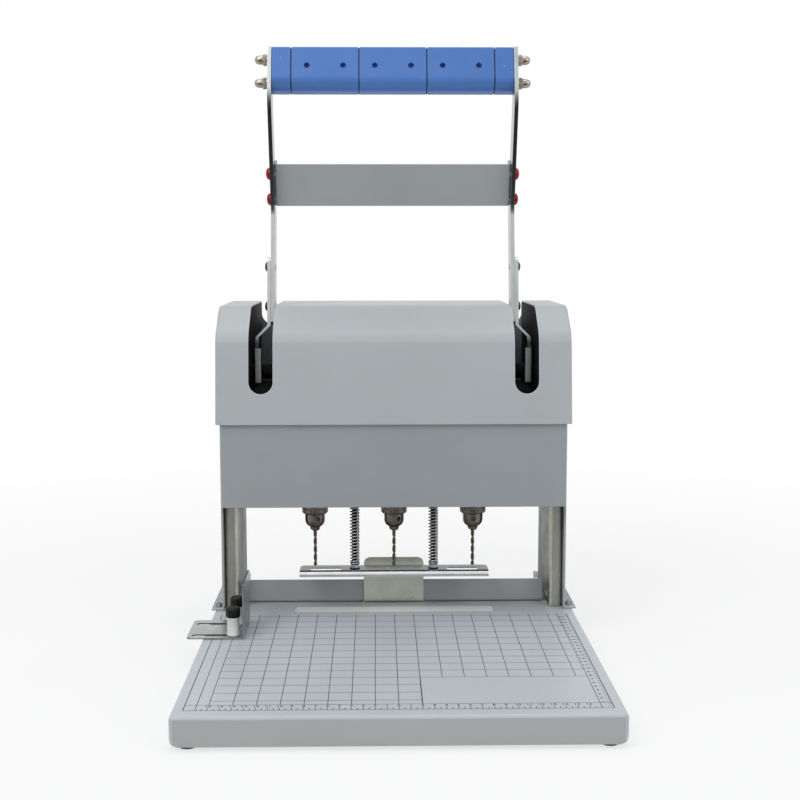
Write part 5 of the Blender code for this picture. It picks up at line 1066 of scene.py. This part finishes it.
def makePrintedGrid():
    # squares, a front and a right ruler with ticks, and a plain field in the front right corner
    p = printSettings
    bm = bmesh.new()
    top = p["top"] - p["sunk"]
    fine, heavy = p["line"] / 2, p["heavy"] / 2
    boxLeft, boxRight, boxFront, boxBack = p["plainBox"]
    half, front, ruler, back, inner, outer, pitch, tick = (
        p[key] for key in ("gridHalf", "border", "ruler", "lastRow", "inner", "outer", "pitch", "tick")
    )

    def strip(x0, x1, y0, y1):
        setDown(bm, block((x0, y0, top), (x1, y1, top + p["thick"])), Matrix.Translation(machineOrigin))

    def across(y, x0, x1, wide):
        strip(x0, x1, y - wide, y + wide)

    def along(x, y0, y1, wide):
        strip(x - wide, x + wide, y0, y1)

    across(front, -outer, outer, heavy)
    across(ruler, -outer, outer, fine)
    for row in range(p["rows"]):
        y = p["rowStart"] + pitch * row
        across(y, -half, boxLeft if boxFront < y < boxBack else inner, fine)
    edge = round(half / pitch)
    for x in [step * pitch for step in range(-edge, edge + 1)]:
        along(x, boxBack if boxLeft + 1 < x < boxRight else ruler, back, fine)
    for x, wide in ((-inner, fine), (-outer, heavy), (inner, fine), (outer, heavy)):
        along(x, front, back, wide)
    along(boxLeft, ruler, boxBack, heavy)
    for number, x in enumerate(range(-int(inner), int(inner) + 1, tick)):
        along(x, front, front + p["frontTicks"][number % 2], fine)
    for number, y in enumerate(range(int(front) + tick, int(back), tick)):
        across(y, outer - p["sideTicks"][number % 2], outer, fine)
    makePiece("printed_grid", bm, inkBlue, "frame", (), 30)


def digitShapes():
    # each digit of the rulers as a thin flat mesh
    shapes = {}
    for mark in "0123456789":
        curve = bpy.data.curves.new(f"digit{mark}", "FONT")
        curve.body = mark
        curve.size = printSettings["digit"] * mm
        curve.align_x = "CENTER"
        curve.align_y = "CENTER"
        curve.resolution_u = 3
        curve.offset = printSettings["digitWeight"] * mm
        curve.extrude = printSettings["digitThick"] * mm
        holder = linked(f"digit{mark}", curve)
        drawn = holder.evaluated_get(bpy.context.evaluated_depsgraph_get())
        flat = bmesh.new()
        flat.from_mesh(bpy.data.meshes.new_from_object(drawn))
        bmesh.ops.remove_doubles(flat, verts=flat.verts, dist=0.001 * mm)
        bpy.data.objects.remove(holder)
        shapes[mark] = asTemplate(flat)
    return shapes


def makeRulerNumbers():
    # centimetres: outwards from the middle along the front, and from the border along the right side
    p = printSettings
    x, rows = p["sideNumbers"]
    numbers = [(abs(step), step * 10, p["frontNumbers"]) for step in range(-16, 17)]
    numbers += [(row, x, p["border"] + p["tick"] + row * 10) for row in range(1, rows + 1)]
    shapes = digitShapes()
    bm = bmesh.new()
    for number, x, y in numbers:
        marks = str(number)
        for index, mark in enumerate(marks):
            aside = (index - (len(marks) - 1) / 2) * p["digitPitch"]
            stamp(bm, shapes[mark], Matrix.Translation(at(x + aside, y, p["digitLevel"])))
    makePiece("ruler_numbers", bm, inkBlue, "frame", (), 30)


makeGuidePosts()
makeScrews()
makePrintedGrid()
makeRulerNumbers()

print("cover, grip and slot parts")

coverSettings = {
    "half": 183.5,
    "front": 299.0,
    "back": 484.0,
    "low": 231.0,
    "top": 350.7,
    "bend": 322.0,
    "lean": 12.0,
    "topFront": 349.0,
    "rounds": (9.0, 8.0, 7.0),
    "side": 2.5,
    "sheet": 1.5,
    "tighter": 0.6,  # how much less the inner bends turn for each millimetre of sheet
    "openBelow": 4.0,
    "slotX": 137.0,
    "slotRadius": 12.5,
    "slots": ((262.0, 290.0, 400.0), (324.0, 399.0, 495.0)),  # lower end, front, back
    "rim": 1.65,
}


def edgesAlong(bm, y, z):
    # edges lying on the line across the machine at one (y, z)
    return edgesWhere(bm, lambda co: abs(co.y - y) < 1 and abs(co.z - z) < 1)


def coverSolid(inset=0.0):
    # the hood as a solid, or its inside where it is inset by the sheet
    half, front, back, low, top, bend, lean, topFront = (
        coverSettings[key] for key in ("half", "front", "back", "low", "top", "bend", "lean", "topFront")
    )
    top -= inset
    topFront += inset / 2
    bend -= inset / 2
    bendFront = front + lean + inset
    below = low - (coverSettings["openBelow"] if inset else 0.0)
    less = inset * coverSettings["tighter"]
    bm = block((-half + inset, front + inset, below), (half - inset, back - inset, top))
    for vert in bm.verts:
        if vert.co.y < (front + 10) * mm and vert.co.z > (top - 10) * mm:
            vert.co.y = topFront * mm
    everything = bm.verts[:] + bm.edges[:] + bm.faces[:]
    bmesh.ops.bisect_plane(bm, geom=everything, plane_co=(0, 0, bend * mm), plane_no=(0, 0, 1))
    for vert in bm.verts:
        if vert.co.y < (topFront - 1) * mm and abs(vert.co.z - bend * mm) < 0.01 * mm:
            vert.co.y = bendFront * mm
    lines = ((bendFront, bend), (topFront, top), (back - inset, top))
    for (y, z), size in zip(lines, coverSettings["rounds"]):
        easeEdges(bm, edgesAlong(bm, y, z), size - less, 12)
    joinFlats(bm, 0.3)
    ends = []
    for edge in bm.edges:
        across = sorted(abs(face.normal.x) for face in edge.link_faces)
        above = all(face.normal.z > -0.9 for face in edge.link_faces)
        if across[0] < 0.1 and across[1] > 0.9 and above:
            ends.append(edge)
    easeEdges(bm, ends, coverSettings["side"] - less, 5)
    return bm


def lyingPrism(sides, radius, low, high, place):
    # a prism along Y, from the front towards the back
    bar = prism(sides, radius, low, high)
    bar.transform(Matrix.Translation(Vector(place) * mm) @ Matrix.Rotation(-pi / 2, 4, "X"))
    return bar


def makeCover():
    # hood with soft bends, open below, and its lever slots cut through front, top and back
    cover = carve(coverSolid(), coverSolid(coverSettings["sheet"]))
    radius, rim = coverSettings["slotRadius"], coverSettings["rim"]
    for end, low, high in coverSettings["slots"]:
        for side in sides:
            x = side * coverSettings["slotX"]
            slot = lyingPrism(72, radius, low, high, (x, 0, end + radius))
            channel = block((x - radius, low, end + radius), (x + radius, high, coverSettings["top"] + 30))
            cover = carve(cover, carve(slot, channel, "UNION"))
    joinFlats(cover, 0.3)
    easeEdges(cover, sharpEdges(cover, 45), 0.5)
    # narrow faces round the slots take a painted highlight
    for face in cover.faces:
        width = face.calc_area() / max(edge.calc_length() for edge in face.edges)
        off = abs(abs(face.calc_center_median().x) - coverSettings["slotX"] * mm)
        face.material_index = int(width < rim * mm and off < (radius + rim) * mm)
    shift(cover, machineOrigin)
    piece = makePiece("upper_cover_drawn", cover, coverPaint, "frame", ["upper_cover"], 30, True)
    piece.data.materials.append(edgeHighlightPaint.material)


gripSettings = {
    "corner": (371.0, 615.5),  # y, z of the top of the arm's centreline
    "lean": -15.8,
    "half": 12.0,
    "height": 44.5,
    "spans": {
        "end_left": (-125.5, -106.2),
        "left": (-105.0, -35.8),
        "centre": (-34.6, 34.6),
        "right": (35.8, 105.0),
        "end_right": (106.2, 125.5),
    },
    "hole": (20.5, 18.75, 3.0, 5.5),  # drop, distance from the middle, radius, depth
    "corners": (12.5, 5.0, 5.0, 1.6),  # low front, low back, top back, top front
    "rods": (10.0, 35.5),
    "rodHole": 3.3,
    "spacerInset": 1.6,
    "spacerDrop": 1.2,
    "dimples": ((-115.8, 12.5), (115.8, 21.0)),
    "dimple": (1.0, ((0, 0.28), (0.6, 0.24), (1, 0), (0, 0))),  # radius, profile
}


def rodHoles(bm, low, high):
    # bores for the tie rods, along X
    for rod in gripSettings["rods"]:
        bar = prism(32, gripSettings["rodHole"], low - 2, high + 2)
        bar.transform(Matrix.Translation((0, 0, -rod * mm)) @ Matrix.Rotation(pi / 2, 4, "Y"))
        bm = carve(bm, bar)
    return bm


def makeGrip():
    y, z = gripSettings["corner"]
    place = Matrix.Translation(at(0, y, z)) @ Matrix.Rotation(radians(gripSettings["lean"]), 4, "X")
    half, height, inset = gripSettings["half"], gripSettings["height"], gripSettings["spacerInset"]
    drop, apart, holeRadius, deep = gripSettings["hole"]
    lines = ((-half, -height), (half, -height), (half, 0), (-half, 0))
    for name, (low, high) in gripSettings["spans"].items():
        bm = block((low, -half, -height), (high, half, 0))
        for (lineY, lineZ), size in zip(lines, gripSettings["corners"]):
            easeEdges(bm, edgesAlong(bm, lineY, lineZ), size, 12)
        bm = rodHoles(bm, low, high)
        if "end" not in name:
            for side in sides:
                x = (low + high) / 2 + side * apart
                bm = carve(bm, lyingPrism(28, holeRadius, -half - 2, -half + deep, (x, 0, -drop)))
        joinFlats(bm)
        easeEdges(bm, sharpEdges(bm), 0.5, 3)
        bm.transform(place)
        makePiece(f"grip_{name}_moulded", bm, gripBlue, "lever", [f"grip_{name}"], 32, True)
    # the spacers' deep blue is painted shade in the grooves
    spacers = bmesh.new()
    ends = [end for span in gripSettings["spans"].values() for end in span][1:-1]
    for low, high in zip(ends[::2], ends[1::2]):
        core = block((low, inset - half, inset - height), (high, half - inset, -gripSettings["spacerDrop"]))
        bend = gripSettings["corners"][0] - inset
        easeEdges(core, edgesAlong(core, inset - half, inset - height), bend, 12)
        setDown(spacers, rodHoles(core, low, high), place)
    makePiece("grip_spacers", spacers, gripGrooveShade, "lever", (), 32)
    marks = bmesh.new()
    radius, profile = gripSettings["dimple"]
    cap = asTemplate(turned([(radius * out, rise) for out, rise in profile], 20))
    for x, drop in gripSettings["dimples"]:
        spot = Matrix.Translation(Vector((x, -half, -drop)) * mm) @ Matrix.Rotation(pi / 2, 4, "X")
        stamp(marks, cap, place @ spot)
    makePiece("grip_dimples", marks, gripPale, "lever")


flangeSettings = {
    "x": (139.2, 147.6),
    "y": (351.9, 353.9),
    "z": (269.0, 305.5),
    "fold": 1.5,
}


def makeStrapFlanges():
    # folded front flange on the lower leg of each strap, seen through the slot
    (front, back), (low, high) = flangeSettings["y"], flangeSettings["z"]
    bm = bmesh.new()
    for side in sides:
        left, right = sorted(side * x for x in flangeSettings["x"])
        plate = block((left, front, low), (right, back, high))
        folded = edgesWhere(plate, lambda co: co.y < front + 0.5)
        folded = [edge for edge in uprightEdges(plate, 5) if edge in folded]
        easeEdges(plate, folded, flangeSettings["fold"], 5)
        easeEdges(plate, sharpEdges(plate), 0.25)
        setDown(bm, plate, Matrix.Translation(machineOrigin))
    makePiece("strap_flanges", bm, flangeSteel, "lever", (), 32, True)


rampSettings = {
    "half": 167.5,
    "start": 449.0,
    "end": 491.0,
    "top": 30.0,
    "drop": 11.0,
    "sheet": 2.0,
    "inside": ((-180, 440, 5), (180, 489.9, 29.9)),
    "unsoftened": (2.5, 3.0),  # how far beside and before the pressed part its edges stay sharp
}


def rampWedge(lower=0.0):
    # the space above a slope that falls toward the rear edge of the base, or the same a sheet lower and wider
    half, start = rampSettings["half"] + lower, rampSettings["start"] - lower
    top = rampSettings["top"] - lower
    wedge = block((-half, start, 10.0), (half, rampSettings["end"], top + 3))
    for vert in wedge.verts:
        if vert.co.z < 11 * mm:
            behind = vert.co.y > (start + 5) * mm
            vert.co.z = (top - (rampSettings["drop"] if behind else 0.0)) * mm
    shift(wedge, machineOrigin)
    return wedge


def makeBase():
    # folded tray whose rear edge is pressed down between the side plates
    bm = nodeShape("base_plate")
    lining = carve(rampWedge(rampSettings["sheet"]), rampWedge())
    inside = machineBlock(*rampSettings["inside"])
    bm = carve(carve(bm, rampWedge()), carve(lining, inside, "INTERSECT"), "UNION")
    joinFlats(bm)
    origin = machineOrigin / mm
    beside, before = rampSettings["unsoftened"]
    rear = rampSettings["start"] - before + origin.y
    wide = rampSettings["half"] + beside
    plain = edgesWhere(bm, lambda co: co.y < rear or abs(co.x - origin.x) > wide)
    easeEdges(bm, [edge for edge in sharpEdges(bm) if edge in plain], 0.3)
    bmesh.ops.triangulate(bm, faces=[face for face in bm.faces if len(face.verts) > 6])
    piece = makePiece("base_plate_pressed", bm, basePaint, "frame", ["base_plate"], weighted=True)
    # the front face takes painted shade
    retone(piece, lambda face: face.normal.y < -0.95, baseFrontShade)


def bendOrInside(sign):
    # 2 on a column's round bends, for a painted highlight, 1 on its inward side, for painted shade
    def tone(face):
        bend = all(0.2 < abs(part) < 0.98 for part in face.normal.xy)
        return 2 if bend else face.normal.x * sign < -0.9

    return tone


def makeShadedFaces():
    # painted shade and highlight by the way faces turn: the columns' inward sides, the arms' front edges and
    # the press bar's top take painted shade, the columns' bends and the fence's top a painted highlight
    pieces = bpy.data.objects
    for side, sign in hands:
        retone(pieces[f"{side}_column_dressed"], bendOrInside(sign), columnShade, columnBendHighlight)
        retone(pieces[f"{side}_arm_dressed"], lambda face: face.normal.y < -0.5, armEdgeShade)
    retone(pieces["press_bar_beaded"], lambda face: face.normal.z > 0.97, pressShade)
    retone(pieces["rear_fence_dressed"], lambda face: face.normal.z > 0.97, fenceTopHighlight)


makeBase()
makeCover()
makeGrip()
makeStrapFlanges()
makeShadedFaces()

print("room and camera")

room = {
    "floorSize": 9.0,
    "floorColour": tint(232, 233, 235),
    "floorShadow": (0.28, 0.45, 1.3),  # strength near the machine, and where it fades
    "worldStrength": 0.5,
    "darkRoom": 0.2,
    "darkY": (-0.6, -0.1),
    "darkZ": (0.02, 0.2),
    "card": ((0.0, -1.085, 0.003), (1.8, 1.33)),
    "lamps": {
        "keySoftbox": ((-1.3, -1.5, 2.1), (0.0, 0.0, 0.3), (1.4, 1.4), 24.0),
        "fillSoftbox": ((1.7, -1.2, 1.3), (0.0, 0.0, 0.3), (1.2, 1.6), 9.0),
        "topSoftbox": ((0.0, 0.2, 2.4), (0.0, 0.1, 0.0), (1.8, 1.8), 15.0),
    },
    "camera": (-18.5, -1064.0, 414.3),
    "focal": 1340.0,  # in pixels of an 800 pixel wide picture
    "pictureWidth": 800,
    "pitch": 6.605,
    "yaw": 1.03,
    "roll": 0.055,
}


def areaLamp(name, place, target, size, power):
    lamp = bpy.data.lights.new(name, "AREA")
    lamp.shape = "RECTANGLE"
    lamp.size, lamp.size_y = size
    lamp.energy = power
    holder = linked(name, lamp)
    holder.location = place
    holder.rotation_euler = (Vector(target) - Vector(place)).to_track_quat("-Z", "Y").to_euler()


def stageSheet(name, finish, cuts, place, size, hidden=()):
    # a flat sheet that belongs to the room, and that some kinds of ray miss
    bm = bmesh.new()
    lie = Matrix.Translation(place) @ Matrix.Diagonal((*size, 1, 1))
    bmesh.ops.create_grid(bm, x_segments=cuts, y_segments=cuts, size=0.5, matrix=lie)
    mesh = asTemplate(bm, name)
    mesh.materials.append(finish.material)
    sheet = linked(name, mesh)
    for ray in hidden:
        setattr(sheet, f"visible_{ray}", False)


def makeFloor():
    # pale sheet that the lens sees as white, with the object's own soft shadow kept on it
    paper = Finish("studioFloor", room["floorColour"], 0.8)
    grain = paper.noise(3.0, 4.0, 0.6)
    tone = paper.blend(paper.span(grain, 0.0, 1.0), tint(231, 232, 234), tint(236, 237, 239))
    paper.feed("Base Color", tone)
    east, north, _ = paper.axes(paper.place)
    reach = (east * east + north * north) ** 0.5
    shadow, near, far = room["floorShadow"]
    lens, glass, metal = paper.rays()
    seen = (lens | glass | metal) * (1 - paper.span(reach, shadow, 0.0, near, far))
    glow = paper.node("ShaderNodeEmission", {}, {})
    paper.surface(seen, Wire(paper, paper.shader.outputs[0]), glow, "Material Output")
    stageSheet("studioFloor", paper, 4, (0, 0, 0), (room["floorSize"], room["floorSize"]))


def makeDarkCard():
    # black card on the floor in front, seen only in reflections, gives the bare metal its dark side
    card = Finish("darkCard", tint(20, 20, 21), 0.9)
    card.feed("Base Color", card.blend(card.noise(40.0), tint(18, 18, 19), tint(24, 24, 25)))
    hidden = ("camera", "diffuse", "shadow", "transmission")
    stageSheet("darkCard", card, 1, *room["card"], hidden)


def makeWorld():
    # even room light; metal also sees the white backdrop, and a darker room behind the lens
    world = bpy.data.worlds.new("softRoom")
    bpy.context.scene.world = world
    world.use_nodes = True
    sky = Nodes(world.node_tree)
    soft = sky.tree.nodes["Background"]
    soft.inputs["Color"].default_value = white
    soft.inputs["Strength"].default_value = room["worldStrength"]
    _, north, height = sky.axes(sky.node("ShaderNodeTexCoord", {}, {}))

    def risen(wire, low, high):
        keys = {"Value": wire, "From Min": low, "From Max": high, "To Min": room["darkRoom"]}
        return sky.node("ShaderNodeMapRange", {"interpolation_type": "SMOOTHSTEP"}, keys)

    lens, glass, metal = sky.rays()
    behind = risen(north, *room["darkY"]) | risen(height, *room["darkZ"])
    seen = sky.node("ShaderNodeBackground", {}, {"Color": white, "Strength": behind | lens | glass})
    sky.surface(lens | glass | metal, Wire(sky, soft.outputs[0]), seen, "World Output")


def makeLamps():
    for name, settings in room["lamps"].items():
        areaLamp(name, *settings)


def makeCamera():
    pitch, yaw, roll = (radians(room[key]) for key in ("pitch", "yaw", "roll"))
    ahead = Vector((sin(yaw) * cos(pitch), cos(yaw) * cos(pitch), -sin(pitch)))
    level = Vector((cos(yaw), -sin(yaw), 0.0))
    right = level * cos(roll) + ahead.cross(level) * sin(roll)
    eye = bpy.data.cameras.new("photoCamera")
    eye.lens = room["focal"] * eye.sensor_width / room["pictureWidth"]
    eye.clip_end = 50.0
    holder = linked("photoCamera", eye)
    turn = Matrix((right, right.cross(ahead), -ahead)).transposed()
    holder.matrix_world = Matrix.Translation(at(*room["camera"])) @ turn.to_4x4()
    bpy.context.scene.camera = holder


makeFloor()
makeDarkCard()
makeWorld()
makeLamps()
makeCamera()
bpy.context.scene.view_settings.view_transform = "Standard"

bpy.context.view_layer.update()
